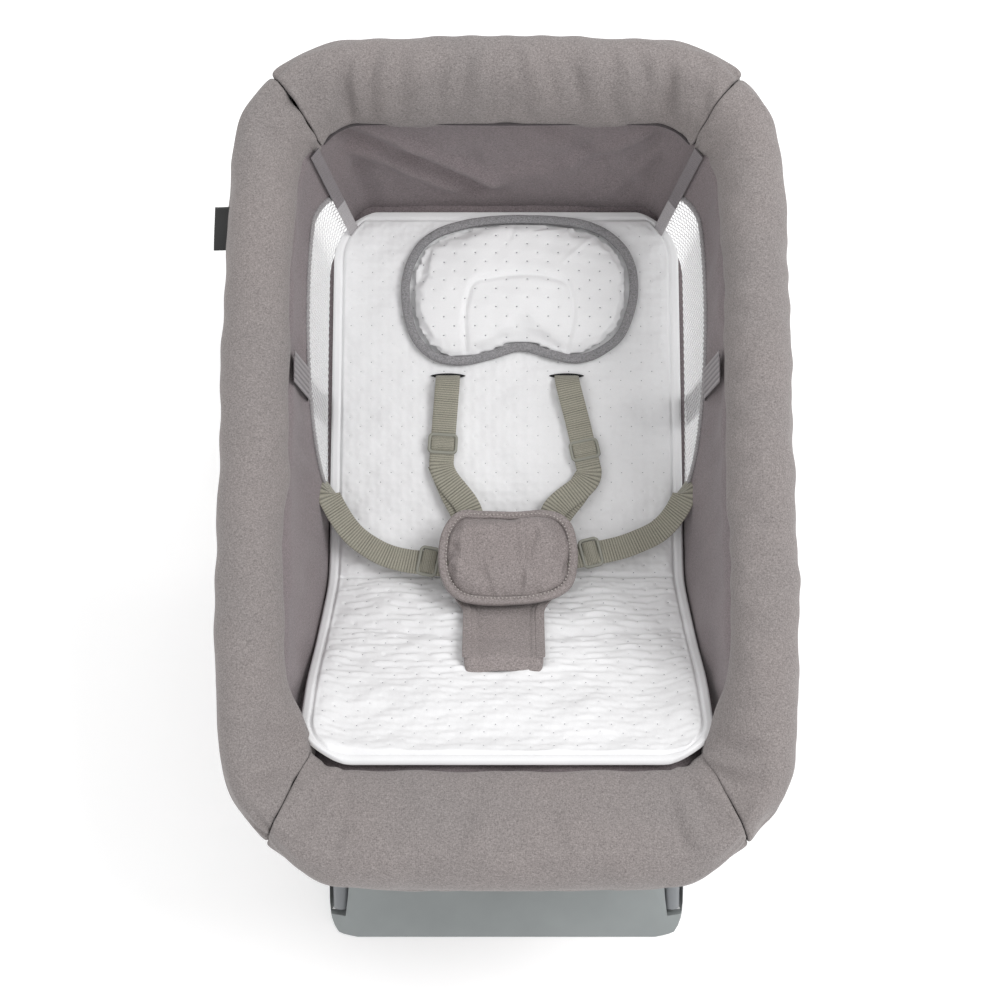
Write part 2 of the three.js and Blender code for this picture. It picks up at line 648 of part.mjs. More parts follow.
/** A block level with the floor between two heights, brought into the leg's frame. */
function levelBlock(leg, outward, low, high) {
  const lean = radians(leg.lean);
  const block = new THREE.BoxGeometry(1200, 1200, high - low);
  block.translate(0, 0, (low + high) * HALF - hubPosition().z);
  block.applyMatrix4(new THREE.Matrix4().makeRotationX(-outward * lean));
  return solid(block);
}

function footCover(leg, outward) {
  const place = footPoint(leg, outward);
  const points = footOutline(leg).flatMap(([x, depth, rise]) =>
    [place(x, depth, rise), place(-x, depth, rise)]);
  let cover = hullSolid(points).subtract(footHollow(leg, outward, 0));
  SIDES.forEach(([, side]) => {
    const from = place(side * leg.footX, FOOT.tubeDepth, FOOT.seat);
    const to = place(side * leg.footX, FOOT.tubeDepth, FOOT.height + 20);
    cover = cover.subtract(rodSolid(from, to, FOOT.channel, 20));
  });
  return geometryOf(cover.subtract(levelBlock(leg, outward, -200, FOOT.edge)));
}

function footPlate(leg, outward) {
  const block = levelBlock(leg, outward, PAD_FEET.height + GAP, PAD_FEET.height + GAP + 3);
  return geometryOf(footHollow(leg, outward, GAP).intersect(block));
}

function footPad(leg, outward, side) {
  const geometry = new THREE.BoxGeometry(PAD_FEET.length, PAD_FEET.width, PAD_FEET.height);
  const legAtFloor = outward * legLength(leg) * Math.sin(radians(leg.lean));
  geometry.translate(side * leg.padX, legAtFloor - outward * 10, PAD_FEET.height * HALF);
  return geometry;
}

function foldLatch(side) {
  const x = side * REAR.hubX;
  const top = -SOCKET.end - LATCH.gap;
  const body = boxSolid(
    [x - LATCH.half, -LATCH.halfDepth, top - LATCH.length],
    [x + LATCH.half, LATCH.halfDepth, top],
  );
  const bore = rodSolid(vector(x, 0, top - LATCH.boreEnd), vector(x, 0, top + 10), LEG_TUBE + GAP, 20);
  return geometryOf(body.subtract(bore));
}

function reclineButton(side) {
  return geometryOf(crossRod(side, LAYERS.button, HUB_RADIUS.pocket - HALF, 24));
}

function addLeg(root, label, leg, outward) {
  const hub = hubPosition();
  const group = new THREE.Group();
  group.position.copy(hub);
  group.rotation.x = outward * radians(leg.lean);
  root.add(group);
  add(group, `${label}_foot_cover`, footCover(leg, outward), 'housing');
  add(group, `${label}_foot_plate`, footPlate(leg, outward), 'housing');
  SIDES.forEach(([name, side]) => {
    add(group, `${label}_leg_tube_${name}`, legTube(side, leg), 'tube');
    const pad = add(root, `${label}_foot_pad_${name}`, footPad(leg, outward, side), 'rubber');
    pad.position.y = hub.y;
  });
  return group;
}

/** Distance from the hub axis to the floor along a leg. */
function legLength(leg) {
  return hubPosition().z / Math.cos(radians(leg.lean));
}

function hubPosition() {
  const tilt = radians(TILT);
  return vector(
    0,
    HUB.along * Math.cos(tilt) + HUB.drop * Math.sin(tilt),
    RIM_HEIGHT + HUB.along * Math.sin(tilt) - HUB.drop * Math.cos(tilt),
  );
}

// ---- the whole object ---------------------------------------------------------------------------
function buildBouncer() {
  const root = new THREE.Group();
  const seat = new THREE.Group();
  seat.position.z = RIM_HEIGHT;
  seat.rotation.x = radians(TILT);
  root.add(seat);
  addRim(seat);
  addBasket(seat);
  addBoard(seat);
  addLiner(seat);
  addPillow(seat);
  addHarness(seat);
  addBuckle(seat);
  addSeatHubs(seat);

  const front = addLeg(root, 'front', FRONT, -1);
  const rear = addLeg(root, 'rear', REAR, 1);
  SIDES.forEach(([name, side]) => {
    add(front, `hub_outer_${name}`, outerHub(side), 'housing');
    add(front, `hub_axle_${name}`, axle(side), 'steel');
    add(front, `recline_button_${name}`, reclineButton(side), 'button');
    add(rear, `hub_middle_${name}`, middleHub(side), 'housing');
    add(rear, `fold_latch_${name}`, foldLatch(side), 'button');
  });
  return root;
}

export default buildBouncer();
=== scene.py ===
"""Bouncer seat: the looks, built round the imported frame.

Lengths are metres. The soft seat is described in its own axes: x to the right, y towards the head along
the tilted rim, z up from the middle of the rim, and seat_to_world places it in the shared frame.
"""

import json
from math import cos, hypot, pi, radians, sin, sqrt

import bmesh
import bpy
import numpy as np
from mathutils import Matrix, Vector

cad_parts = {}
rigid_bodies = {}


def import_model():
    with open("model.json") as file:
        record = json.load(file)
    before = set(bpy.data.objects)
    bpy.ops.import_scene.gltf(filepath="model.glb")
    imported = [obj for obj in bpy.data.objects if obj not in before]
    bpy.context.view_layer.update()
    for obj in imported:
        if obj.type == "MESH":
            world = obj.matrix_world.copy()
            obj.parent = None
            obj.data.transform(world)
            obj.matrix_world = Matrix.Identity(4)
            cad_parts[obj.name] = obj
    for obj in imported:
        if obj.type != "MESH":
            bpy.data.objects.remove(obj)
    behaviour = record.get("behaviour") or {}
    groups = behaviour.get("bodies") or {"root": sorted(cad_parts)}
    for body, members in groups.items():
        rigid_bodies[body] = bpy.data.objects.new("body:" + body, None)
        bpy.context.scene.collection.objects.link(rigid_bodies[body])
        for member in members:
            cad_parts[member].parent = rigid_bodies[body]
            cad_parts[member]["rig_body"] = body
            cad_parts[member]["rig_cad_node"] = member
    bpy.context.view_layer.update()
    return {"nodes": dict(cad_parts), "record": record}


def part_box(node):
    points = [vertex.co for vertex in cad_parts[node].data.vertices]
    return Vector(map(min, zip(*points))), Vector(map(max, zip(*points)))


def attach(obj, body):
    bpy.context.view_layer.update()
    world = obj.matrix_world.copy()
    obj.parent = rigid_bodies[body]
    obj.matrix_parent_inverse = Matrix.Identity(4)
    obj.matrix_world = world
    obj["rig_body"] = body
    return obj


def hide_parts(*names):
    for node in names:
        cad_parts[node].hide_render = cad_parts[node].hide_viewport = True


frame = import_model()
scene = bpy.context.scene
NODES = frame["nodes"]

MM = 0.001
SIDES = (("left", -1), ("right", 1))

# ---- the seat's own axes ------------------------------------------------------------------------
TILT = radians(19)
RIM_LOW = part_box("rim_tube_foot")[0]
RIM_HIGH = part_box("rim_tube_head")[1]
RIM_HEIGHT = (RIM_LOW.z + RIM_HIGH.z) / 2
TUBE_RADIUS = 10 * MM
RIM_HALF_WIDTH = RIM_HIGH.x - TUBE_RADIUS
RIM_HALF_LENGTH = 372.5 * MM
RIM_CORNER = 92 * MM

# ---- the basket and what lies in it -------------------------------------------------------------
FLOOR_Z = -198 * MM
HIP_Y = -97 * MM
LIP_Y = -305 * MM
LIP_Z = -12 * MM
WALL_TOP = 203 * MM
WALL_LEAN = 21 / 189
WINDOW = {"y": 163 * MM, "z": -199 * MM, "along": 168 * MM, "up": 126 * MM, "end": 285 * MM}
LINER_HEAD = 296 * MM
WEBBING = 25 * MM


def seat_to_world(points):
    x, y, z = np.moveaxis(np.asarray(points, float), -1, 0)
    turned = (x, y * cos(TILT) - z * sin(TILT), RIM_HEIGHT + y * sin(TILT) + z * cos(TILT))
    return np.stack(turned, -1)


# ---- shape helpers ------------------------------------------------------------------------------
def turns(count):
    """count angles, evenly spread round a full turn."""
    return np.linspace(0, 2 * pi, count, endpoint=False)


def smooth(t):
    t = np.clip(t, 0, 1)
    return t * t * (3 - 2 * t)


def bell(distance, width):
    """1 at no distance, falling away within width."""
    return np.exp(-((distance / width) ** 2))


def spline(x, stations, values):
    """A smooth curve through values at stations, read at x."""
    stations = np.asarray(stations, float)
    values = np.asarray(values, float)
    slopes = np.gradient(values, stations)
    x = np.clip(x, stations[0], stations[-1])
    i = np.clip(np.searchsorted(stations, x, side="right") - 1, 0, len(stations) - 2)
    gap = stations[i + 1] - stations[i]
    t = (x - stations[i]) / gap
    start = values[i] * (1 + 2 * t) * (1 - t) ** 2 + slopes[i] * gap * t * (1 - t) ** 2
    return start + values[i + 1] * t * t * (3 - 2 * t) + slopes[i + 1] * gap * t * t * (t - 1)


def closed_curve(points, count):
    """count points, evenly spread, on a smooth closed curve through points."""
    points = np.asarray(points, float)
    n = len(points)
    fine = np.linspace(0, n, 16 * n, endpoint=False)
    i = fine.astype(int)
    t = (fine - i)[:, None]
    a, b, c, d = (points[(i + k) % n] for k in (-1, 0, 1, 2))
    curve = 0.5 * (2 * b + (c - a) * t + (2 * a - 5 * b + 4 * c - d) * t**2 + (3 * b - a - 3 * c + d) * t**3)
    return respaced(curve, count, closed=True)


def respaced(curve, count, closed=False):
    """count points, evenly spread along a polyline."""
    curve = np.asarray(curve, float)
    whole = np.vstack([curve, curve[:1]]) if closed else curve
    run = np.concatenate([[0], np.cumsum(np.linalg.norm(np.diff(whole, axis=0), axis=1))])
    want = np.linspace(0, run[-1], count, endpoint=not closed)
    return np.stack([np.interp(want, run, whole[:, k]) for k in range(whole.shape[1])], -1)


def open_curve(points, count):
    """count points, evenly spread, on a smooth curve through points."""
    points = np.asarray(points, float)
    run = np.concatenate([[0], np.cumsum(np.linalg.norm(np.diff(points, axis=0), axis=1))])
    fine = np.linspace(0, run[-1], 12 * len(points))
    curve = np.stack([spline(fine, run, points[:, k]) for k in range(points.shape[1])], -1)
    return respaced(curve, count)


def folds(x, y, pitch, seed, waves=7):
    """A smooth random height, mostly between -1 and 1, with bumps about pitch apart."""
    rng = np.random.default_rng(seed)
    height = np.zeros(np.broadcast(x, y).shape)
    for _ in range(waves):
        angle, phase = rng.uniform(0, 2 * pi, 2)
        size = pitch * rng.uniform(0.7, 1.6)
        height += np.sin((x * cos(angle) + y * sin(angle)) * 2 * pi / size + phase)
    return height / sqrt(waves)


def ridge(x, y, start, end, width):
    """1 on the line from start to end, falling away within width and fading out past its ends."""
    along = np.array(end, float) - start
    length = hypot(*along)
    along /= length
    run = (x - start[0]) * along[0] + (y - start[1]) * along[1]
    off = (y - start[1]) * along[0] - (x - start[0]) * along[1]
    past = np.maximum(0, np.maximum(-run, run - length))
    return np.exp(-((off / width) ** 2) - (past / (2 * width)) ** 2)


def creases(x, y, rows):
    """The sum of several ridges, each (height, start, end, width) in millimetres."""
    return sum(height * MM * ridge(x, y, np.array(start) * MM, np.array(end) * MM, width * MM)
               for height, start, end, width in rows)


def grid_faces(rows, columns, wrap_rows=False, wrap_columns=False, first=0):
    faces = []
    for r in range(rows if wrap_rows else rows - 1):
        for c in range(columns if wrap_columns else columns - 1):
            below = (r + 1) % rows
            right = (c + 1) % columns
            corners = (r * columns + c, r * columns + right, below * columns + right, below * columns + c)
            faces.append([first + k for k in corners])
    return faces


def mesh_object(name, points, faces, material, rib_shade=None):
    mesh = bpy.data.meshes.new(name)
    mesh.from_pydata([tuple(p) for p in points], [], faces)
    if rib_shade is not None:
        tinted(mesh, rib_shade)
    mesh.materials.append(material)
    piece = bpy.data.objects.new(name, mesh)
    scene.collection.objects.link(piece)
    tidy(piece)
    return piece


def tinted(mesh, rib_shade):
    """Stores painted light (1) on the rib crests and painted shade (-1) in the rib valleys of webbing, at
    each vertex.
    """
    mesh.attributes.new("rib_shade", "FLOAT", "POINT").data.foreach_set("value", np.asarray(rib_shade, np.float32))


def tidy(piece, merge=1e-6):
    """Merges doubles, turns every face outwards and shades the mesh smooth."""
    shape = bmesh.new()
    shape.from_mesh(piece.data)
    bmesh.ops.remove_doubles(shape, verts=shape.verts, dist=merge)
    bmesh.ops.dissolve_degenerate(shape, edges=shape.edges, dist=merge)
    bmesh.ops.recalc_face_normals(shape, faces=shape.faces)
    for face in shape.faces:
        face.smooth = True
    shape.to_mesh(piece.data)
    shape.free()


def applied(piece):
    """Bakes the modifiers into the mesh."""
    graph = bpy.context.evaluated_depsgraph_get()
    graph.update()
    mesh = bpy.data.meshes.new_from_object(piece.evaluated_get(graph))
    piece.modifiers.clear()
    piece.data = mesh
    return piece


def subdivided(piece, levels=1):
    modifier = piece.modifiers.new("fine", "SUBSURF")
    modifier.levels = levels
    modifier.render_levels = levels
    return applied(piece)


def seat_piece(name, points, faces, material, slot, body="seat", rib_shade=None):
    piece = mesh_object(name, seat_to_world(points), faces, material, rib_shade)
    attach(piece, body)
    return piece


def closed_pad(upper, lower):
    """Points and faces of a closed pad between two grids of the same size."""
    rows, columns = upper.shape[:2]
    count = rows * columns
    faces = grid_faces(rows, columns) + [f[::-1] for f in grid_faces(rows, columns, first=count)]
    loop = grid_border(rows, columns)
    for a, b in zip(loop, loop[1:] + loop[:1]):
        faces.append([b, a, a + count, b + count])
    return np.vstack([upper.reshape(-1, 3), lower.reshape(-1, 3)]), faces


def grid_border(rows, columns):
    """The indices round the edge of a grid, in order."""
    loop = list(range(columns))
    loop += [r * columns + columns - 1 for r in range(1, rows)]
    loop += [(rows - 1) * columns + c for c in reversed(range(columns - 1))]
    return loop + [r * columns for r in reversed(range(1, rows - 1))]


def shell(grid, thickness, outward=-1):
    """Points and faces of a thin closed shell: grid is one side, and the other is thickness away."""
    grid = np.asarray(grid, float)
    along = np.gradient(grid, axis=0)
    across = np.gradient(grid, axis=1)
    normal = np.cross(along, across)
    length = np.linalg.norm(normal, axis=-1, keepdims=True)
    normal = np.divide(normal, length, out=np.zeros_like(normal), where=length > 1e-12)
    back = grid + outward * thickness * normal
    return closed_pad(grid, back)


def swept(path, section, up=(0, 0, 1)):
    """Points and faces of a closed solid: section (across, up) carried along path."""
    path = np.asarray(path, float)
    along = np.gradient(path, axis=0)
    along /= np.linalg.norm(along, axis=1)[:, None]
    across = np.cross(along, np.broadcast_to(up, along.shape))
    across /= np.linalg.norm(across, axis=1)[:, None]
    lift = np.cross(across, along)
    section = np.asarray(section, float)
    if section.ndim == 2:
        section = np.broadcast_to(section, (len(path),) + section.shape)
    points = path[:, None] + across[:, None] * section[..., :1] + lift[:, None] * section[..., 1:]
    rows, columns = points.shape[:2]
    faces = grid_faces(rows, columns, wrap_columns=True)
    faces.append(list(range(columns)))
    faces.append([(rows - 1) * columns + c for c in reversed(range(columns))])
    return points.reshape(-1, 3), faces


def looped(path, section, normals):
    """Points and faces of a closed ring: section (out, up) carried round a closed path in a plane."""
    path = np.asarray(path, float)
    section = np.asarray(section, float)
    out = np.asarray(normals, float)[:, None]
    points = path[:, None] + out * section[None, :, :1] + np.array((0, 0, 1.0)) * section[None, :, 1:]
    rows, columns = points.shape[:2]
    return points.reshape(-1, 3), grid_faces(rows, columns, True, True)


def oval(half_width, half_height, count):
    """The section of a cord or a rolled edge."""
    turn = turns(count)
    return np.stack([half_width * np.cos(turn), half_height * np.sin(turn)], -1)


def outward_normals(outline):
    """The outward directions of a closed outline in the x-y plane, with z = 0."""
    step = np.roll(outline, -1, axis=0) - np.roll(outline, 1, axis=0)
    normals = np.stack([step[:, 1], -step[:, 0]], -1)
    normals /= np.linalg.norm(normals, axis=1)[:, None]
    middle = outline.mean(axis=0)
    if np.sum(normals * (outline - middle)) < 0:
        normals = -normals
    return np.column_stack([normals, np.zeros(len(normals))])


# ---- materials ----------------------------------------------------------------------------------
def srgb(red, green, blue):
    def linear(value):
        value /= 255
        return value / 12.92 if value <= 0.04045 else ((value + 0.055) / 1.055) ** 2.4
    return (linear(red), linear(green), linear(blue), 1)


class Nodes:
    """Builds one material's node tree. Textures are placed in the piece's own metres."""

    def __init__(self, name, roughness, sheen=0.0, metallic=0.0, coat=0.0):
        self.material = bpy.data.materials.new(name)
        self.material.use_nodes = True
        self.tree = self.material.node_tree
        self.shader = self.tree.nodes["Principled BSDF"]
        self.shader.inputs["Roughness"].default_value = roughness
        self.shader.inputs["Sheen Weight"].default_value = sheen
        self.shader.inputs["Sheen Roughness"].default_value = 0.6
        self.shader.inputs["Metallic"].default_value = metallic
        self.shader.inputs["Coat Weight"].default_value = coat
        self.place = self.tree.nodes.new("ShaderNodeTexCoord").outputs["Object"]

    def node(self, kind, **inputs):
        node = self.tree.nodes.new(kind)
        for key, value in inputs.items():
            self.feed(node, key.replace("_", " "), value)
        return node

    def feed(self, node, key, value):
        if isinstance(value, bpy.types.NodeSocket):
            self.tree.links.new(value, node.inputs[key])
        else:
            node.inputs[key].default_value = value

    def stretched(self, x, y, z):
        return self.node("ShaderNodeMapping", Vector=self.place, Scale=(x, y, z)).outputs["Vector"]

    def noise(self, scale, detail=3.0, place=None, roughness=0.6):
        made = self.node("ShaderNodeTexNoise", Vector=place or self.place, Scale=scale, Detail=detail,
                         Roughness=roughness)
        return made.outputs["Fac"]

    def wave(self, direction, scale, place=None, distortion=0.4):
        made = self.node("ShaderNodeTexWave", Vector=place or self.place, Scale=scale,
                         Distortion=distortion)
        made.bands_direction = direction
        return made.outputs["Fac"]

    def stored(self, name):
        made = self.tree.nodes.new("ShaderNodeAttribute")
        made.attribute_name = name
        return made.outputs["Fac"]

    def math(self, operation, a, b=0.0):
        made = self.tree.nodes.new("ShaderNodeMath")
        made.operation = operation
        self.feed(made, 0, a)
        self.feed(made, 1, b)
        return made.outputs[0]

    def ramp(self, value, *stops):
        made = self.node("ShaderNodeValToRGB", Fac=value)
        elements = made.color_ramp.elements
        while len(elements) < len(stops):
            elements.new(0.5)
        for element, (place, colour) in zip(elements, stops):
            element.position = place
            element.color = colour
        return made.outputs["Color"]

    def tinted(self, base, tone):
        """The base colour, half multiplied by tone. A mix node's colour sockets are 6, 7 and 2."""
        made = self.tree.nodes.new("ShaderNodeMix")
        made.data_type = "RGBA"
        made.blend_type = "MULTIPLY"
        self.feed(made, 0, 0.5)
        self.feed(made, 6, base)
        self.feed(made, 7, tone)
        return made.outputs[2]

    def bump(self, height, strength, distance):
        made = self.node("ShaderNodeBump", Height=height, Strength=strength, Distance=distance)
        self.feed(self.shader, "Normal", made.outputs["Normal"])

    def colour(self, value):
        self.feed(self.shader, "Base Color", value)

    def rough(self, value, low, high):
        made = self.node("ShaderNodeMapRange", Value=value)
        self.feed(made, 3, low)
        self.feed(made, 4, high)
        self.feed(self.shader, "Roughness", made.outputs[0])


# Scales of the procedural textures, per metre.
YARN = 980
SLUB = 0.45  # a slub's width over its length
FIBRE = 900
TWILL = 420
PLAIN_WEAVE = 160
KNIT = 260


def melange(name, dark, light):
    """Woven cloth of two mixed yarns: short dark and light slubs both ways, and a fine plain weave."""
    m = Nodes(name, roughness=0.92, sheen=0.12)
    warp = m.noise(YARN, detail=4, place=m.stretched(1, SLUB, 1), roughness=0.8)
    weft = m.noise(YARN, detail=4, place=m.stretched(SLUB, 1, 0.8), roughness=0.8)
    yarn = m.math("MULTIPLY", m.math("ADD", warp, weft), 0.5)
    base = m.ramp(yarn, (0.36, srgb(*dark)), (0.64, srgb(*light)))
    drift = m.ramp(m.noise(9, detail=2), (0.35, (0.93, 0.94, 0.95, 1)), (0.65, (1.04, 1.02, 1.02, 1)))
    m.colour(m.tinted(base, drift))
    weave = m.math("ADD", m.wave("X", PLAIN_WEAVE), m.wave("Y", PLAIN_WEAVE))
    m.bump(m.math("ADD", m.math("MULTIPLY", weave, 0.35), yarn), 0.45, 0.4 * MM)
    return m.material


def white_cloth(name, tone):
    """Soft white knit: hardly any colour, a fine fibre grain and faint grey drift."""
    m = Nodes(name, roughness=0.85, sheen=0.08)
    grain = m.noise(FIBRE, detail=3)
    drift = m.noise(16, detail=3)
    whole = m.math("ADD", m.math("MULTIPLY", grain, 0.4), m.math("MULTIPLY", drift, 0.6))
    low = srgb(tone - 7, tone - 7, tone - 6)
    high = srgb(tone + 3, tone + 3, tone + 4)
    m.colour(m.ramp(whole, (0.3, low), (0.7, high)))
    m.bump(m.math("ADD", grain, m.math("MULTIPLY", m.wave("X", KNIT), 0.4)), 0.3, 0.25 * MM)
    return m.material


def webbing_cloth(name, dark, light):
    """Polyester webbing: fine twill yarns with a soft lustre, with painted highlight on the rib crests and
    painted shade in the valleys.
    """
    m = Nodes(name, roughness=0.62, sheen=0.25)
    twill = m.wave("DIAGONAL", TWILL, distortion=1.2)
    grain = m.noise(1100, detail=4)
    yarn = m.math("ADD", m.math("MULTIPLY", twill, 0.3), m.math("MULTIPLY", grain, 0.7))
    # Painted light and shade: the stored rib shading lifts the crests towards the pale stop and sinks the
    # valleys towards the deep stop.
    mixed = m.math("ADD", yarn, m.math("MULTIPLY", m.stored("rib_shade"), 0.3))
    deep = [0.62 * c for c in dark]
    pale = [min(255, 1.16 * c) for c in light]
    stops = zip((0.1, 0.3, 0.7, 0.9), (deep, dark, light, pale))
    m.colour(m.ramp(mixed, *((place, srgb(*colour)) for place, colour in stops)))
    m.bump(yarn, 0.5, 0.35 * MM)
    m.rough(grain, 0.5, 0.75)
    return m.material


def moulded(name, colour, roughness, grain=260, depth=0.06):
    """Moulded plastic: a satin grain, slight tone drift and a little uneven gloss."""
    m = Nodes(name, roughness=roughness)
    fine = m.noise(grain * 10, detail=2)
    drift = m.noise(14, detail=3)
    shade = [srgb(*(max(0, c + step) for c in colour)) for step in (-4, 3)]
    m.colour(m.ramp(drift, (0.35, shade[0]), (0.65, shade[1])))
    m.bump(fine, depth, 0.2 * MM)
    m.rough(m.math("ADD", m.math("MULTIPLY", fine, 0.5), m.math("MULTIPLY", drift, 0.5)),
            roughness - 0.07, roughness + 0.08)
    return m.material


def plated(name, colour, roughness):
    m = Nodes(name, roughness=roughness, metallic=1.0)
    streak = m.noise(120, detail=4, place=m.stretched(1, 1, 8))
    m.colour(m.ramp(streak, (0.3, srgb(*(c - 14 for c in colour))), (0.7, srgb(*colour))))
    m.rough(streak, roughness - 0.08, roughness + 0.12)
    return m.material


def panel_board(name):
    m = Nodes(name, roughness=0.8)
    fibre = m.noise(180, detail=5, place=m.stretched(1, 6, 1))
    m.colour(m.ramp(fibre, (0.3, srgb(96, 80, 62)), (0.7, srgb(150, 128, 100))))
    m.bump(fibre, 0.2, 0.3 * MM)
    return m.material


RIM_CLOTH = melange("rim_melange", (96, 90, 89), (162, 155, 153))
LINING = melange("basket_melange", (94, 85, 87), (152, 142, 144))
BINDING = melange("binding_melange", (92, 91, 93), (166, 165, 167))
# Painted shadow: the dark cloth of the cord along the head cover's inner lip.
PAINTED_LIP_SHADE = melange("painted_lip_shadow", (44, 40, 42), (78, 72, 74))
PAD_CLOTH = melange("pad_melange", (96, 89, 88), (172, 163, 161))
QUILT = white_cloth("quilt_white", 237)
PILLOW_CLOTH = white_cloth("pillow_white", 238)
NET = white_cloth("net_white", 240)
STRAP = webbing_cloth("webbing", (90, 88, 77), (148, 145, 131))
BAND = webbing_cloth("ribbed_band", (70, 65, 68), (128, 121, 124))
TAPE = webbing_cloth("corner_tape", (70, 64, 67), (124, 117, 120))
TAPE_PALE = webbing_cloth("corner_tape_pale", (120, 116, 119), (178, 174, 176))
CLIP = moulded("clip_plastic", (142, 142, 132), 0.42)
HOUSING = moulded("grey_plastic", (144, 149, 149), 0.4)
TRIM = moulded("trim_plastic", (88, 92, 94), 0.38)
TUBE = moulded("grey_powder_coat", (128, 131, 134), 0.34, grain=160, depth=0.1)
RUBBER = moulded("rubber", (58, 58, 60), 0.75, grain=120, depth=0.2)
STEEL = plated("steel", (186, 188, 192), 0.32)
BOARD = panel_board("board")
TAG = webbing_cloth("tag_black", (6, 6, 7), (20, 20, 21))
HEM = webbing_cloth("overlock_hem", (92, 88, 91), (190, 187, 188))
# Painted shade: near black for the shadow inside the shoulder slits.
PAINTED_SLOT_SHADE = moulded("slot_shadow", (26, 26, 27), 0.9)
THREAD = webbing_cloth("thread", (164, 157, 152), (206, 199, 193))
QUILT_THREAD = webbing_cloth("quilt_thread", (112, 112, 118), (156, 156, 162))


# ---- the padded rim -----------------------------------------------------------------------------
STRAIGHT_X = RIM_HALF_WIDTH - RIM_CORNER
STRAIGHT_Y = RIM_HALF_LENGTH - RIM_CORNER
QUARTER = RIM_CORNER * pi / 2
CORNER_START = STRAIGHT_X
SIDE_START = STRAIGHT_X + QUARTER
SIDE_END = SIDE_START + 2 * STRAIGHT_Y
HEAD_START = SIDE_END + QUARTER
HEAD_MIDDLE = HEAD_START + STRAIGHT_X

# How far the cover reaches inwards from the tube, and how high its inner lip lies, from foot to head.
REACH_AT = np.array([0, 143, 215, 255, 287, 318, 353, 400, 568, 768, 828, 848, 904, 945, 993, 1136]) * MM
REACH = np.array([75, 75, 73, 67, 61, 48, 36, 32, 32, 32, 36, 40, 49, 47, 45, 45]) * MM
OUTER = np.array([31, 28.5, 16, 20, 24, 27, 29, 31, 31, 30, 28, 27, 23, 25, 28, 31]) * MM
LIP_DROP = np.array([12, 12, 14, 18, 20, 18, 8, 2, 2, 2, 8, 14, 24, 28, 28, 28]) * MM
PAD_HALF_HEIGHT = 30 * MM
WIDE_REACH = 50 * MM  # from here on the inner half of the section is drawn out to a flatter lip
OUTER_POWER = 0.94


def rim_point(run, side):
    """Centre line and outward direction at run metres from the foot's middle, on one side (-1, 1)."""
    run = np.asarray(run, float)
    foot_turn = -pi / 2 + np.clip((run - CORNER_START) / RIM_CORNER, 0, pi / 2)
    head_turn = np.clip((run - SIDE_END) / RIM_CORNER, 0, pi / 2)
    turn = foot_turn + head_turn
    x = np.minimum(run, CORNER_START) + RIM_CORNER * np.cos(foot_turn) * (foot_turn > -pi / 2)
    x = np.where(run >= SIDE_START, STRAIGHT_X + RIM_CORNER * np.cos(head_turn), x)
    x = x - np.clip(run - HEAD_START, 0, None)
    y = -STRAIGHT_Y + RIM_CORNER * np.sin(foot_turn) + np.clip(run - SIDE_START, 0, 2 * STRAIGHT_Y)
    y = y + RIM_CORNER * np.sin(head_turn)
    return np.stack([x * side, y], -1), np.stack([np.cos(turn) * side, np.sin(turn)], -1)


def section(phi, reach, drop, outer_reach):
    """Outward offset and height of the padded cover; phi is 0 outside and a quarter turn on top."""
    outer = np.cos(phi) >= 0
    point = 1 + 0.9 * smooth((reach - WIDE_REACH) / (20 * MM))
    inward = -reach * np.abs(np.cos(phi)) ** point
    out = np.where(outer, outer_reach * np.abs(np.cos(phi)) ** OUTER_POWER, inward)
    up = PAD_HALF_HEIGHT * np.sin(phi) - np.where(outer, 0, drop * np.cos(phi) ** 2)
    return out, up


def seam_run(out, corner, inner, outer):
    """Where a mitred seam crosses the cover, given the outward offset. The seam is straight from above,
    from inner to outer, both measured from the centre of that corner's arc, x outwards and y along."""
    base, step = np.array(inner), np.array(outer) - inner
    radius = RIM_CORNER + out
    a = step @ step
    b = base @ step
    c = base @ base - radius**2
    t = (-b + np.sqrt(np.maximum(b * b - a * c, 0))) / a
    x, y = base[0] + t * step[0], base[1] + t * step[1]
    straight_t = (radius - base[0]) / step[0]
    straight_y = base[1] + straight_t * step[1]
    on_straight = (straight_y * step[1] < 0) & (y * step[1] < 0)
    turn = np.abs(np.arctan2(np.abs(y), x))
    if corner == "foot":
        return np.where(on_straight, SIDE_START + np.abs(straight_y), SIDE_START - RIM_CORNER * turn)
    return np.where(on_straight, SIDE_END - np.abs(straight_y), SIDE_END + RIM_CORNER * turn)


FOOT_SEAM = {"corner": "foot", "inner": (31 * MM, 3 * MM), "outer": (68 * MM, -74 * MM)}
HEAD_SEAM = {"corner": "head", "inner": (36 * MM, 22 * MM), "outer": (86 * MM, 84 * MM)}
PAD_RINGS = 56
SEAM_ALLOWANCE = 7 * MM


def pad_edge(seam, phi):
    """The run of one seam at each phi, settled against the reach there."""
    run = np.full_like(phi, SIDE_START if seam["corner"] == "foot" else SIDE_END)
    for _ in range(12):
        reach = spline(run, REACH_AT, REACH)
        out, _up = section(phi, reach, 0 * phi, spline(run, REACH_AT, OUTER))
        run = 0.5 * run + 0.5 * seam_run(out, **seam)
    return run


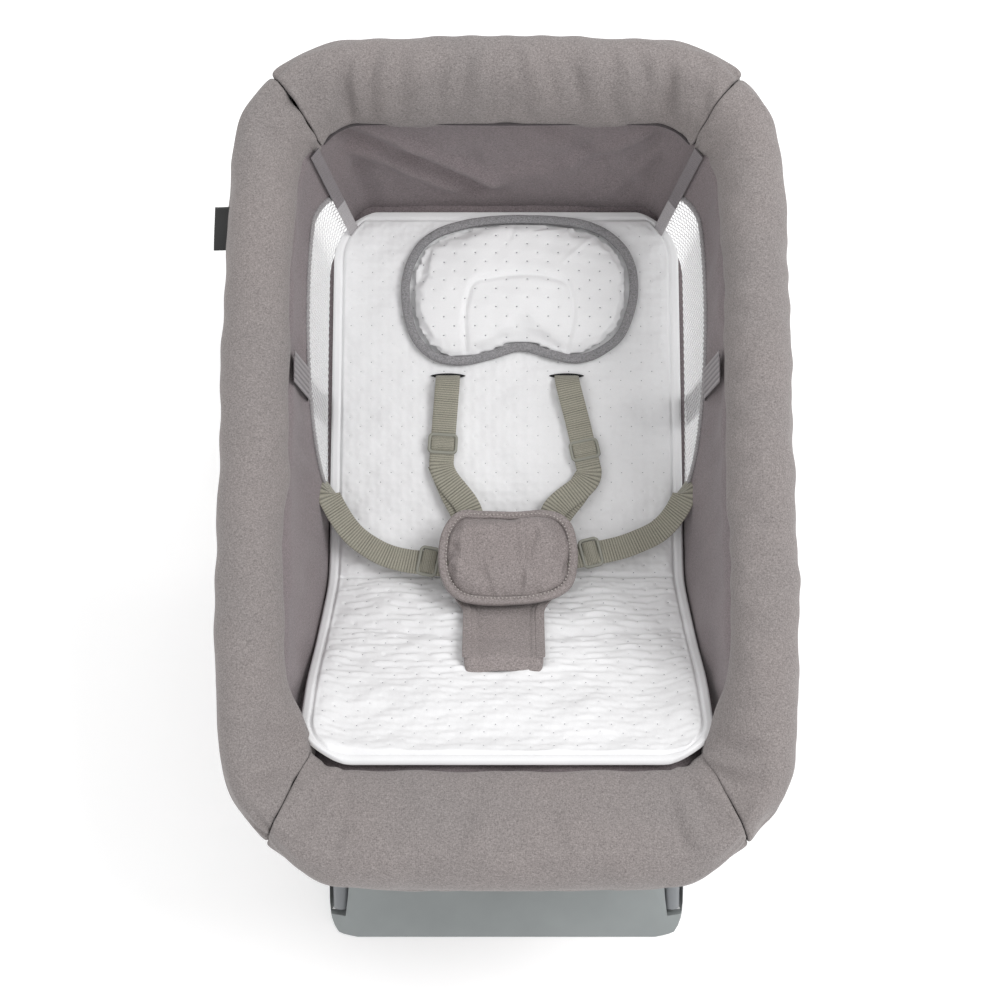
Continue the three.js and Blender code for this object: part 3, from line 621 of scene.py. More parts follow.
def cover_panel(start, end, middle, steps, seed):
    """One panel of the rim's cover between two seams, each given as (side, run at each phi). middle is
    the run where the panel crosses the seat's middle line, or None where it stays on one side."""
    phi = turns(PAD_RINGS)
    share = np.linspace(0, 1, steps)[:, None]
    (start_side, start_run), (end_side, end_run) = start, end
    if middle is None:
        run = start_run + (end_run - start_run) * share
        side = start_side + 0 * run
        length = np.abs(end_run - start_run)
    else:
        first = start_run + (middle - start_run) * np.clip(2 * share, 0, 1)
        second = middle + (end_run - middle) * np.clip(2 * share - 1, 0, 1)
        run = np.where(share < 0.5, first, second)
        side = np.where(share < 0.5, start_side, end_side) + 0 * run
        length = np.abs(start_run - middle) * 2
    drop = spline(run, REACH_AT, LIP_DROP)
    out, up = section(phi, spline(run, REACH_AT, REACH), drop, spline(run, REACH_AT, OUTER))
    scale = 1 + cover_swell(run, phi, np.minimum(share, 1 - share) * length, seed) / np.hypot(out, up)
    out, up = out * scale, up * scale
    centre, outward = rim_point(run, 1)
    x = (centre[..., 0] + outward[..., 0] * out) * side
    y = centre[..., 1] + outward[..., 1] * out
    return np.stack([x, y, up], -1)


def cover_swell(run, phi, from_seam, seed):
    """How far the cloth stands off its plain section: seams pull in, and the cloth creases beside them."""
    seam = -1.0 * MM * bell(from_seam, 2.4 * MM) - 0.8 * MM * np.exp(-from_seam / (14 * MM))
    broad = 1.2 * MM * folds(run, phi * 40 * MM, 120 * MM, seed)
    small = 0.7 * MM * folds(run, phi * 30 * MM, 36 * MM, seed + 1)
    fan = 2.4 * MM * np.exp(-from_seam / (36 * MM)) * folds(run * 0.4, phi * 36 * MM, 20 * MM, seed + 2)
    inside = smooth((0.45 - np.cos(phi)) / 0.9)
    lip = 1 - bell(phi - pi, 0.45)
    ends = smooth((run - SIDE_END) / (90 * MM)) + 0.5 * (1 - smooth((run - SIDE_START) / (60 * MM)))
    pleat = folds(run + phi * 14 * MM, phi * 10 * MM, 27 * MM, seed + 3)
    gathers = (0.8 + 2.2 * ends) * MM * inside * lip * pleat * np.where(pleat < 0, 1.5, 0.8)
    return seam + broad + small + fan + gathers


def padded_rim():
    foot = pad_edge(FOOT_SEAM, turns(PAD_RINGS))
    head = pad_edge(HEAD_SEAM, turns(PAD_RINGS))
    panels = {
        "foot": ((-1, foot), (1, foot), 0.0, 132),
        "head": ((1, head), (-1, head), HEAD_MIDDLE, 132),
        "left": ((-1, head), (-1, foot), None, 170),
        "right": ((1, foot), (1, head), None, 170),
    }
    for place, (name, (start, end, middle, steps)) in enumerate(panels.items()):
        grid = tucked_ends(cover_panel(start, end, middle, steps, 10 * place + 3))
        faces = grid_faces(*grid.shape[:2], wrap_columns=True)
        piece = seat_piece(f"rim_cover_{name}", grid.reshape(-1, 3), faces, RIM_CLOTH, "melange")
        subdivided(piece)
        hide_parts(f"rim_pad_{name}")


def lip_shadow_cord():
    """A thin dark cord along the head cover's inner lip, where it meets the lining: painted shadow under the
    seam there.
    """
    run = np.linspace(SIDE_END + 58 * MM, HEAD_MIDDLE, 90)
    rows = []
    for side, runs in ((1, run), (-1, run[-2::-1])):
        centre, outward = rim_point(runs, side)
        reach = spline(runs, REACH_AT, REACH)[:, None]
        place = centre - outward * (reach + 0.2 * MM)
        rows.append(np.column_stack([place, -spline(runs, REACH_AT, LIP_DROP) - 1.0 * MM]))
    points, faces = swept(np.concatenate(rows), oval(1.5 * MM, 1.2 * MM, 8))
    seat_piece("head_lip_painted_shadow", points, faces, PAINTED_LIP_SHADE, "lining")


def tucked_ends(grid):
    """Turns the cloth inwards at both seams, as a seam allowance is."""
    def inner(ring, next_ring):
        towards = ring.mean(axis=0) - ring
        towards /= np.linalg.norm(towards, axis=1)[:, None]
        return ring + towards * SEAM_ALLOWANCE + (next_ring - ring) * 0.2

    first = inner(grid[0], grid[1])
    last = inner(grid[-1], grid[-2])
    return np.concatenate([first[None], grid, last[None]])


# ---- the camera, the light and the floor --------------------------------------------------------
CAMERA_PLACE = (-0.0065, -0.9694, 1.9855)
CAMERA_TILT = radians(30)
SEAT_MIDDLE = (0, 0, 0.3)
FLOOR_HALF = 6


def soft_light(name, place, size, power):
    light = bpy.data.lights.new(name, "AREA")
    light.shape = "DISK"
    light.size = size
    light.energy = power
    lamp = bpy.data.objects.new(name, light)
    lamp.location = place
    lamp.rotation_euler = (Vector(SEAT_MIDDLE) - Vector(place)).to_track_quat("-Z", "Y").to_euler()
    scene.collection.objects.link(lamp)


def studio():
    camera = bpy.data.cameras.new("camera")
    camera.sensor_width = 36
    camera.lens = 72
    holder = bpy.data.objects.new("camera", camera)
    holder.location = CAMERA_PLACE
    holder.rotation_euler = (CAMERA_TILT, 0, 0)
    scene.collection.objects.link(holder)
    scene.camera = holder

    world = bpy.data.worlds.new("studio")
    world.use_nodes = True
    background = world.node_tree.nodes["Background"]
    background.inputs["Color"].default_value = (1, 1, 1, 1)
    background.inputs["Strength"].default_value = 0.78
    scene.world = world
    scene.view_settings.view_transform = "Standard"

    soft_light("key", (1.6, -0.35, 2.5), 1.4, 35)
    soft_light("fill", (-1.4, -1.6, 1.9), 1.8, 8)
    soft_light("back", (-0.6, 1.9, 2.0), 1.4, 8)

    corners = [(x * FLOOR_HALF, y * FLOOR_HALF, 0) for x, y in ((-1, -1), (1, -1), (1, 1), (-1, 1))]
    floor = mesh_object("floor", corners, [[0, 1, 2, 3]], pale_floor())


def pale_floor():
    m = Nodes("pale_floor", roughness=0.9)
    tone = m.noise(3, detail=2)
    m.colour(m.ramp(tone, (0.3, (0.93, 0.93, 0.93, 1)), (0.7, (0.95, 0.95, 0.95, 1))))
    m.shader.inputs["Emission Color"].default_value = (1, 1, 1, 1)
    m.shader.inputs["Emission Strength"].default_value = 0.22
    return m.material


# ---- the basket ---------------------------------------------------------------------------------
WALL_THICKNESS = 2 * MM
WALL_TURN_IN = 5 * MM
TOP_TUCK = 9 * MM
HEAD_TOP = -12 * MM
HEAD_TOP_Y = 338 * MM
HEAD_BOTTOM_Y = 302 * MM
CORNER_SEAM_TOP = (190 * MM, 297 * MM)
CORNER_SEAM_LOW = (163 * MM, 276 * MM)
CORNER_TURN = 44 * MM
SLANT_FROM = 200 * MM
HEAD_TUCKS = [(9, (-170, -20), (-15, -150), 8), (-7, (-165, -45), (-20, -175), 10),
              (6, (-150, -90), (-60, -165), 7), (7, (170, -30), (70, -120), 7),
              (-5, (30, -30), (120, -160), 12), (4, (165, -70), (110, -170), 7)]
NET_PITCH = 3.6 * MM
STRAND = 0.9 * MM
TAPE_WIDTH = 12.5 * MM
BAND_WIDTH = 31 * MM
BAND_Y = 80 * MM
BAND_PITCH = 5.2 * MM


def wall_x(z):
    """Half the basket's width at height z."""
    return WALL_TOP + WALL_LEAN * (z - LIP_Z)


def corner_share(z):
    """0 at the top of a head corner seam and 1 at the floor."""
    return np.clip(z / FLOOR_Z, 0, 1)


def corner_y(z):
    """Where the side wall ends against the head corner seam."""
    return CORNER_SEAM_TOP[1] + (CORNER_SEAM_LOW[1] - CORNER_SEAM_TOP[1]) * corner_share(z)


def side_x(y, z):
    """Half the basket's width, turning inwards as it nears the head corner seam."""
    seam = CORNER_SEAM_TOP[0] + (CORNER_SEAM_LOW[0] - CORNER_SEAM_TOP[0]) * corner_share(z)
    near = np.clip((y - corner_y(z) + CORNER_TURN) / CORNER_TURN, 0, 1)
    return wall_x(z) - (wall_x(z) - seam) * near**2


def floor_z(y):
    """Height of the basket's floor: flat, then rising from the hip to the lip."""
    return np.where(y > HIP_Y, FLOOR_Z, FLOOR_Z + (HIP_Y - y) * (LIP_Z - FLOOR_Z) / (HIP_Y - LIP_Y))


def lining(name, grid, thickness, outward, node):
    """A lining panel that stands for a CAD node."""
    piece = seat_piece(name, *shell(grid, thickness, outward), LINING, "lining")
    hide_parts(node)
    return piece


def side_wall(name, side):
    """The lining of one side, from the rim down to the floor, arched over the net window."""
    start = WINDOW["y"] - WINDOW["along"]
    turn = np.linspace(0, np.arccos((WINDOW["y"] - WINDOW["end"]) / WINDOW["along"]), 64)
    stations = [np.linspace(LIP_Y + 1 * MM, HIP_Y - 3 * MM, 40), np.linspace(HIP_Y, start - 1 * MM, 18),
                WINDOW["y"] - WINDOW["along"] * np.cos(turn)]
    y = np.concatenate(stations)[:, None]
    open_share = np.clip(1 - ((y - WINDOW["y"]) / WINDOW["along"]) ** 2, 0, 1)
    arch = np.sqrt(open_share) * WINDOW["up"] + WINDOW["z"]
    share = np.linspace(0, 1, 26)
    z = np.where(y >= start, arch, floor_z(y) - WALL_TURN_IN) * share
    y = y + (corner_y(z) - WINDOW["end"]) * smooth((y - SLANT_FROM) / (WINDOW["end"] - SLANT_FROM))
    loose = np.sin(pi * share) * (1 - smooth((y - 230 * MM) / (50 * MM)))
    slack = 2.4 * folds(y, z, 150 * MM, 21 + side) + 1.5 * folds(y, z * 0.3, 40 * MM, 24 + side)
    tucked = TOP_TUCK * (1 - smooth(-z / (24 * MM)))
    x = (side_x(y, z) + loose * (3 - slack) * MM - 1.5 * MM + tucked) * side
    piece = lining(f"side_lining_{name}", np.stack([x, y, z], -1), WALL_THICKNESS, -side, f"side_wall_{name}")


def head_wall():
    """The lining at the head, from one corner seam round to the other, with deep slanting folds."""
    top = rounded_path([CORNER_SEAM_TOP, (183 * MM, 319 * MM), (165 * MM, HEAD_TOP_Y - 3 * MM)])
    low = rounded_path([CORNER_SEAM_LOW, (160 * MM, 291 * MM), (148 * MM, HEAD_BOTTOM_Y)])
    share = np.linspace(0, 1, 34)
    flat = top[:, None] + (low - top)[:, None] * share[:, None]
    x = flat[..., 0]
    z = HEAD_TOP + (FLOOR_Z + 3 * MM) * share + 0 * x
    depth = np.sin(pi * share)
    slack = 5 * MM * depth * (1 + 0.5 * folds(x, z, 210 * MM, 31))
    fine = 1.3 * MM * depth * folds(x, z * 0.6, 36 * MM, 33)
    held = smooth((np.abs(x[:, :1]) - 176 * MM) / (-10 * MM))
    away = flat - (0, 140 * MM)
    away /= np.linalg.norm(away, axis=-1, keepdims=True)
    push = (slack - creases(x, z, HEAD_TUCKS) * (0.3 + 0.7 * depth) - fine) * held
    grid = np.concatenate([flat + away * push[..., None], z[..., None]], -1)
    piece = lining("head_lining", grid, WALL_THICKNESS, 1, "head_wall")


def rounded_path(right):
    """From the right side round the head to the left: right is (side, corner, head) on the right half."""
    crown = right[-1][1] + 3 * MM
    half = open_curve(right + [(0.12, crown - 1.5 * MM), (0.06, crown), (0, crown)], 60)
    return np.vstack([half, half[-2::-1] * (-1, 1)])


def net_window(name, side):
    """A real net of thin white strands, diamond by diamond, stretched behind the arch of the lining."""
    points, at = [], {}
    for c in range(int(2 * WINDOW["along"] / NET_PITCH) + 2):
        for r in range(c % 2, int(WINDOW["up"] / NET_PITCH) + 2, 2):
            y = WINDOW["y"] - WINDOW["along"] + (c - 0.5) * NET_PITCH
            z = WINDOW["z"] - 1 * MM + r * NET_PITCH
            across = (y - WINDOW["y"]) / (WINDOW["along"] + 3 * MM)
            upward = max((z - WINDOW["z"]) / (WINDOW["up"] + 3 * MM), 0)
            if across**2 + upward**2 <= 1 and y <= corner_y(z) + 1 * MM:
                bow = 2 * MM * (1 - across**2) * (1 - upward)
                at[c, r] = len(points)
                points.append(((side_x(y, z) + 0.4 * MM + bow) * side, y, z))
    diamond = ((0, 0), (1, 1), (0, 2), (-1, 1))
    meshes = [[at.get((c + across, r + up)) for across, up in diamond] for c, r in at]
    faces = [corners for corners in meshes if None not in corners]
    piece = seat_piece(f"net_{name}", points, faces, NET, "net")
    strand = piece.modifiers.new("strands", "WIREFRAME")
    strand.thickness = STRAND
    strand.use_even_offset = False
    strand.use_boundary = True
    applied(piece)
    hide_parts(f"mesh_window_{name}")
    arch_hem(name, side)


def arch_hem(name, side):
    """The overlocked hem round the window: a rolled edge with slanting stitches."""
    turn = np.linspace(np.arccos((WINDOW["end"] - WINDOW["y"]) / WINDOW["along"]), pi, 260)
    y = WINDOW["y"] + WINDOW["along"] * np.cos(turn)
    z = WINDOW["z"] + WINDOW["up"] * np.sin(turn)
    path = np.stack([(side_x(y, z) - 1.6 * MM) * side, y, z], -1)
    swell = 1 + 0.22 * np.sin(np.arange(len(turn)) * 2 * pi / 3.3)
    ring = oval(2.2 * MM, 4.2 * MM, 10) * swell[:, None, None]
    seat_piece(f"window_hem_{name}", *swept(path, ring, up=(0, 0.1, 1.0)), HEM, "lining")


RIBBON_ACROSS = np.array([-1, -0.96, -0.7, -0.35, 0, 0.35, 0.7, 0.96, 1])
RIBBON_EDGE = np.array([0.25, 0.8, 1, 1, 1, 1, 1, 0.8, 0.25])
RIBBED_SHARE = 0.94


def flat_ribbon(name, path, width, thickness, material, up=(0, 0, 1), ribs=0.0, pitch=2.2 * MM, body="seat",
                slot="webbing"):
    """Webbing: a flat woven band with soft edges; ribs is the height of its cross ribs."""
    length = np.sum(np.linalg.norm(np.diff(np.asarray(path, float), axis=0), axis=1))
    step = 0.55 * MM if ribs else 2.5 * MM
    path = open_curve(path, max(12, int(length / step)))
    crest = np.abs(np.sin(np.linspace(0, length, len(path)) * pi / pitch))[:, None]
    across = RIBBON_ACROSS * width / 2 + 0 * crest
    edge = RIBBON_EDGE * thickness / 2 + ribs * crest * (np.abs(RIBBON_ACROSS) < RIBBED_SHARE)
    top = np.stack([across, edge], -1)
    under = np.stack([across, -edge], -1)[:, ::-1]
    points, faces = swept(path, np.concatenate([top, under], 1), up=up)
    # Painted highlight on the rib crests and painted shade in the valleys between them, stored per vertex.
    weave = 2 * crest**0.7 - 1 if ribs else 0 * crest
    return seat_piece(name, points, faces, material, slot, body, np.repeat(weave, 2 * len(RIBBON_EDGE)))


def corner_tapes():
    """Tapes sewn over the two head corner seams, darker on the lining and paler over the net."""
    z = np.linspace(-14, -196, 9) * MM
    y = corner_y(z)
    for name, side in SIDES:
        inset = 3.2 * MM + 1.5 * MM * corner_share(z)
        path = np.stack([(side_x(y, z) - inset) * side, y - 3 * MM, z], -1)
        for part, places, cloth in (("upper", path[:6], TAPE), ("lower", path[5:], TAPE_PALE)):
            flat_ribbon(f"corner_tape_{part}_{name}", places, TAPE_WIDTH, 1.2 * MM, cloth,
                        (side * -0.8, -0.6, 0.1), 0.3 * MM, 2.4 * MM)


def ribbed_bands():
    """Elastic bands down each side, ribbed along: on the lining by the rim, then outside the net."""
    inner = [(z * MM, -3.2 * MM) for z in (-8, -40, -68, -76)]
    outer = [(z * MM, 4 * MM) for z in (-100, -150, -196)]
    for name, side in SIDES:
        path = [((wall_x(z) + off) * side, BAND_Y, z) for z, off in inner + outer]
        band = flat_ribbon(f"side_band_{name}", path, BAND_WIDTH, 1.3 * MM, BAND, (-side, 0, 0.1))
        subdivided(band, 2)
        crest = np.abs(np.sin(pi * (own_places(band)[:, 1] - BAND_Y + 16 * MM) / BAND_PITCH))
        # Painted highlight on each rib's crest and painted shade in its valleys, replacing the flat ribbon's
        # stored shading.
        band.data.attributes.remove(band.data.attributes["rib_shade"])
        tinted(band.data, 2 * crest - 1)
        reshaped(band, lambda own: own - np.outer(np.sign(own[:, 0]) * 0.9 * MM * crest, (1, 0, 0)))


# The board's pocket: (y, half width) from its straight sides round the head corners.
POCKET_CORNER = np.array([(225, 184.5), (240, 183), (252, 179), (264, 172), (277, 165), (292, 160),
                          (304, 150), (308, 138)]) * MM
POCKET_HALF = 181 * MM


def under_cover():
    """The pocket under the basket that holds the backrest board, and the panel under the lap."""
    y = np.linspace(-101, 308, 50)[:, None] * MM
    share = np.linspace(-1, 1, 44)
    x = share * POCKET_HALF
    bulge = np.sqrt(np.maximum((1 - share**4) * (1 - ((y - 100 * MM) / (200 * MM)) ** 4), 0))
    z = -201 * MM - 6.5 * MM * bulge - 0.7 * MM * folds(x + 0 * y, y, 60 * MM, 41)
    z = np.maximum(z, -209 * MM) + 0.5 * MM
    half = np.interp(y, *POCKET_CORNER.T)
    pocket = np.stack([share * half, y + 0 * x, z], -1)
    piece = lining("board_pocket", pocket, 1.2 * MM, 1, "basket_floor_back")

    y = np.linspace(-308, -99, 40)[:, None] * MM
    round_off = 34 * MM * smooth((-283 * MM - y) / (24 * MM))
    x = share * (wall_x(floor_z(y)) + 1 * MM - round_off)
    z = floor_z(y) - 3 * MM - 1.2 * MM * folds(x, y, 80 * MM, 43)
    piece = lining("lap_panel", np.stack([x, y + 0 * x, z], -1), 1.5 * MM, 1, "basket_floor_seat")


# ---- the quilted liner --------------------------------------------------------------------------
LINER_THICK = 10 * MM
LINER_LAP = 268 * MM
LINER_EDGE = 10 * MM
HIP_RUN = LINER_HEAD - HIP_Y
LINER_RUN = HIP_RUN + LINER_LAP
LINER_AT = np.array([0, 60, 290, 385, 520, 660]) * MM
LINER_HALF = np.array([180, 180, 180, 180, 188, 192]) * MM
HEAD_CORNER = 54 * MM
FOOT_CORNER = 48 * MM
QUILT_X = 10.7 * MM
QUILT_Y = 9.7 * MM
SLOPE = np.arctan2(LIP_Z - FLOOR_Z, HIP_Y - LIP_Y)
BEND = 15 * MM
BEND_SHARPNESS = 2.2
LAP_CREASES = [(3.5, (-42, 94), (-150, 76), 7), (3.5, (38, 94), (160, 82), 7)]


def liner_profile(run):
    """y and height of the liner's underside at run metres from its head edge, round the hip."""
    soft = BEND * np.log1p(np.exp((run - HIP_RUN) / BEND * BEND_SHARPNESS)) / BEND_SHARPNESS
    return LINER_HEAD - run + soft * (1 - cos(SLOPE)), FLOOR_Z + soft * sin(SLOPE)


def liner_half_width(run):
    """Half width along the liner, with rounded corners at both ends."""
    wide = spline(run, LINER_AT, LINER_HALF)
    for corner, end in ((HEAD_CORNER, run), (FOOT_CORNER, LINER_RUN - run)):
        short = np.clip(corner - end, 0, corner)
        wide = wide - corner + np.sqrt(np.maximum(corner**2 - short**2, 0))
    return wide


def lattice(rows, columns):
    """Stitch places of the diagonal quilting."""
    for row in rows:
        for column in columns:
            if (row + column) % 2 == 0:
                yield column * QUILT_X, row * QUILT_Y


def from_stitch(x, run):
    """How far a place is from the nearest stitch of the lattice."""
    row = np.round(run / QUILT_Y)
    column = 2 * np.round((x / QUILT_X - row % 2) / 2) + row % 2
    return np.hypot(x - column * QUILT_X, run - row * QUILT_Y)


def quilt_height(x, run):
    """The quilted face: a dimple at each stitch, pillows between, and puckered rows below the hip."""
    u, v = x / QUILT_X, run / QUILT_Y
    past = run - HIP_RUN
    dimple = -1.6 * MM * bell(from_stitch(x, run), 1.9 * MM)
    pillow = 0.55 * MM * (np.cos(pi * (u + v)) * np.cos(pi * (u - v)) - 1)
    below = smooth(past / (30 * MM)) * (1 - 0.75 * smooth((past - 130 * MM) / (50 * MM)))
    warp = 2.5 * MM * folds(x, run, 70 * MM, 51)
    broken = 0.5 + 0.5 * folds(x, run * 2, 30 * MM, 52)
    pucker = 1.25 * MM * np.cos(2 * pi * (run + warp) / QUILT_Y) * np.clip(broken, 0, 1.4)
    soft = 1.2 * MM * folds(x, run, 75 * MM, 53) + 0.6 * MM * folds(x, run, 24 * MM, 54)
    return dimple + pillow * (1 - below) + pucker * below + soft - 3.2 * MM * bell(past, 2.4 * MM)


def liner_layer(x, run, upper):
    """Places on the liner's upper or under face, given x and the run from the head edge."""
    past = run - HIP_RUN + 0 * x
    edge = np.maximum(np.minimum(liner_half_width(run) - np.abs(x), np.minimum(run, LINER_RUN - run)), 0)
    inside = edge - LINER_EDGE
    full = smooth(edge / (26 * MM)) ** 0.6
    thick = 3.2 * MM + (LINER_THICK - 4.8 * MM) * full + 1.6 * MM * (1 - full)
    thick += 1.6 * MM * smooth(inside / (3 * MM)) - 2.2 * MM * bell(inside, 1.5 * MM)
    thick += quilt_height(x, run + 0 * x) * smooth(inside / (6 * MM))
    thick -= 4.2 * MM * (1 - smooth(edge / (1.6 * MM)))
    curl = 13 * MM * smooth((np.abs(x) - 140 * MM) / (45 * MM)) * smooth((past - 90 * MM) / (90 * MM))
    curl += 6 * MM * smooth((run - LINER_RUN + 34 * MM) / (34 * MM))
    lift = 0.6 * MM + curl
    if upper:
        lift += thick - creases(x, past, LAP_CREASES)
    y, z = liner_profile(run)
    turn = SLOPE * smooth((past + 30 * MM) / (60 * MM))
    return np.stack([x, y + lift * np.sin(turn), z + lift * np.cos(turn)], -1)


def liner():
    """The removable liner: one quilted pad from the head round the hip to the foot, with a bound edge."""
    ends = np.array([0.2, 13, 14.6]) * MM
    run = np.concatenate([np.linspace(*ends[:2], 12), np.linspace(ends[2], LINER_RUN - ends[2], 380),
                          LINER_RUN - np.linspace(*ends[1::-1], 12)])[:, None]
    across = np.concatenate([np.linspace(-1, -0.925, 13), np.linspace(-0.915, 0.915, 208),
                             np.linspace(0.925, 1, 13)])
    x = across * liner_half_width(run)
    points, faces = closed_pad(liner_layer(x, run, True), liner_layer(x, run, False))
    piece = seat_piece("liner", points, faces, QUILT, "quilt")
    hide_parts("liner_back", "liner_seat")
    rows = range(3, int(LINER_RUN / QUILT_Y) - 1)
    places = [(x, run) for x, run in lattice(rows, range(-18, 19))
              if abs(x) < liner_half_width(run) - 15 * MM]
    stitch_marks("liner_stitches", liner_layer(*np.array(places).T, True), 0.15 * MM, QUILT_THREAD)


# ---- things sewn or laid on the liner -----------------------------------------------------------
BEAD_SIDES = 6
PILLOW_OUTLINE = [(14, 288), (-50, 281), (-91, 259), (-109, 214), (-101, 160), (-77, 132), (-46, 126),
                  (-16, 132), (14, 141), (42, 134), (70, 128), (98, 136), (124, 160), (137, 208), (126, 252),
                  (86, 281)]
PILLOW_MIDDLE = np.array((14, 208)) * MM
PILLOW_BASE = -187 * MM
PILLOW_SEAM = [(-42, 139), (-41, 190), (-33, 211), (-12, 216), (42, 217), (62, 210), (68, 190), (60, 134)]
PILLOW_CREASES = [(1.1, (62, 235), (90, 262), 3), (-0.9, (5, 262), (12, 285), 3)]


def stitch_marks(name, places, lift, material):
    """Small sunken thread marks: one low bead at each place, a little above the cloth."""
    points, faces = [], []
    for x, y, z in places:
        first = len(points)
        points += [(x + a, y + b, z + lift) for a, b in oval(0.95 * MM, 0.75 * MM, BEAD_SIDES)]
        points += [(x, y, z + lift + 0.35 * MM), (x, y, z + lift - 0.8 * MM)]
        for k in range(BEAD_SIDES):
            here, following = first + k, first + (k + 1) % BEAD_SIDES
            faces += [[here, following, first + BEAD_SIDES], [following, here, first + BEAD_SIDES + 1]]
    seat_piece(name, points, faces, material, "quilt")


def dished(outline, middle, rings, top, under):
    """A closed pad over an outline: top(share) and under(share) give the heights from middle to edge."""
    def layer(height):
        return [np.column_stack([middle + (outline - middle) * s, np.full(len(outline), height(s))])
                for s in np.linspace(0, 1, rings + 1)[1:]]

    middle = np.asarray(middle)
    rows = layer(top) + layer(under)[::-1]
    n = len(outline)
    points = np.vstack(rows + [[(*middle, top(0))], [(*middle, under(0))]])
    faces = grid_faces(len(rows), n, wrap_columns=True)
    head = len(rows) * n
    last = head - n
    faces += [[head, (k + 1) % n, k] for k in range(n)]
    faces += [[head + 1, last + k, last + (k + 1) % n] for k in range(n)]
    return points, faces


CLOTH = {
    "quality": 5,
    "mass": 0.2,
    "tension_stiffness": 18,
    "compression_stiffness": 12,
    "shear_stiffness": 8,
    "bending_stiffness": 0.3,
    "use_pressure": True,
    "uniform_pressure_force": 4,
}
CLOTH_FRAMES = 20
CLOTH_VOXEL = 4 * MM


def inflated(piece, cap):
    """Swells a padded piece by up to cap with a short cloth simulation and bakes the result."""
    remesh = piece.modifiers.new("even", "REMESH")
    remesh.mode = "VOXEL"
    remesh.voxel_size = CLOTH_VOXEL
    applied(piece)
    before = np.array([v.co for v in piece.data.vertices])
    cloth = piece.modifiers.new("cloth", "CLOTH")
    for key, value in CLOTH.items():
        setattr(cloth.settings, key, value)
    cloth.settings.effector_weights.gravity = 0
    for step in range(1, CLOTH_FRAMES + 1):
        scene.frame_set(step)
    applied(piece)
    scene.frame_set(1)
    moved = np.array([v.co for v in piece.data.vertices]) - before
    far = np.linalg.norm(moved, axis=1, keepdims=True)
    after = before + moved * np.minimum(1, cap / np.maximum(far, 1e-9))
    piece.data.vertices.foreach_set("co", after.ravel())
    piece.data.update()
    subdivided(piece)


def own_places(piece):
    """A piece's vertices in the seat's own axes."""
    x, y, z = np.array([v.co for v in piece.data.vertices]).T - [[0], [0], [RIM_HEIGHT]]
    return np.stack([x, y * cos(TILT) + z * sin(TILT), -y * sin(TILT) + z * cos(TILT)], -1)


def reshaped(piece, change):
    """Moves a piece's vertices: change takes and returns their places in the seat's own axes."""
    piece.data.vertices.foreach_set("co", seat_to_world(change(own_places(piece))).ravel())
    piece.data.update()


def near_path(x, y, path, width):
    """1 on a polyline in the x-y plane, falling away within width."""
    nearest = np.full(x.shape, np.inf)
    for (ax, ay), (bx, by) in zip(path[:-1], path[1:]):
        length = (bx - ax) ** 2 + (by - ay) ** 2
        t = np.clip(((x - ax) * (bx - ax) + (y - ay) * (by - ay)) / length, 0, 1)
        nearest = np.minimum(nearest, np.hypot(x - ax - t * (bx - ax), y - ay - t * (by - ay)))
    return bell(nearest, width)


def in_outline(x, y, outline):
    """Whether a point is inside a closed outline."""
    ax, ay = outline[:, 0], outline[:, 1]
    bx, by = np.roll(ax, -1), np.roll(ay, -1)
    crosses = (ay > y) != (by > y)
    at = ax + (y - ay) / np.where(by == ay, 1, by - ay) * (bx - ax)
    return np.count_nonzero(crosses & (x < at)) % 2 == 1


def top_of(piece, x, y):
    """The height of a piece's upper face at a place in the seat's own axes."""
    start = Vector(seat_to_world((x, y, 0)))
    down = Vector((0, sin(TILT), -cos(TILT)))
    hit, place, _normal, _face = piece.ray_cast(start, down)
    return -(place - start).dot(down) if hit else PILLOW_BASE


def head_pillow():
    outline = closed_curve(np.array(PILLOW_OUTLINE) * MM, 150)
    channel = open_curve(np.array(PILLOW_SEAM) * MM, 60)
    points, faces = dished(PILLOW_MIDDLE + (outline - PILLOW_MIDDLE) * 0.955, PILLOW_MIDDLE, 30,
                           lambda s: PILLOW_BASE + 5 * MM + 9 * MM * (1 - s**2.4),
                           lambda s: PILLOW_BASE + 1.5 * MM)
    piece = seat_piece("head_pillow_pad", points, faces, PILLOW_CLOTH, "quilt")
    inflated(piece, 7 * MM)

    def finish(own):
        x, y, z = own.T
        z = np.maximum(z, PILLOW_BASE + 0.8 * MM)
        height = smooth((z - PILLOW_BASE - 3 * MM) / (7 * MM))
        soft = 0.8 * MM * folds(x, y, 60 * MM, 61) + 0.4 * MM * folds(x, y, 22 * MM, 62)
        sewn = 2.6 * MM * near_path(x, y, channel, 3.2 * MM)
        dents = 0.9 * MM * bell(from_stitch(x, y), 1.6 * MM)
        return np.stack([x, y, z + height * (soft + creases(x, y, PILLOW_CREASES) - sewn - dents)], -1)

    reshaped(piece, finish)
    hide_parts("head_pillow")
    quilted = PILLOW_MIDDLE + (outline - PILLOW_MIDDLE) * 0.86
    marks = [(x, y, top_of(piece, x, y)) for x, y in lattice(range(14, 30), range(-10, 14))
             if in_outline(x, y, quilted)]
    stitch_marks("pillow_stitches", marks, 0.1 * MM, QUILT_THREAD)
    ring = binding_ring(outline, PILLOW_BASE + 4.2 * MM, 9.5 * MM, 7 * MM)
    subdivided(seat_piece("head_pillow_binding", *ring, BINDING, "melange"))


def binding_ring(outline, z, width, height):
    """Points and faces of a folded tape round a padded piece's edge: flat-sided, rounded and uneven."""
    cosine, sine = oval(1, 1, 16).T
    ring = np.stack([cosine * np.abs(cosine) ** -0.3 * width / 2 - width / 2,
                     sine * np.abs(sine + 1e-9) ** -0.25 * height / 2], -1)
    path = np.column_stack([outline, np.full(len(outline), z)])
    points, faces = looped(path, ring, outward_normals(outline))
    points[:, 2] += 0.5 * MM * folds(points[:, 0], points[:, 1], 24 * MM, 65)
    return points, faces


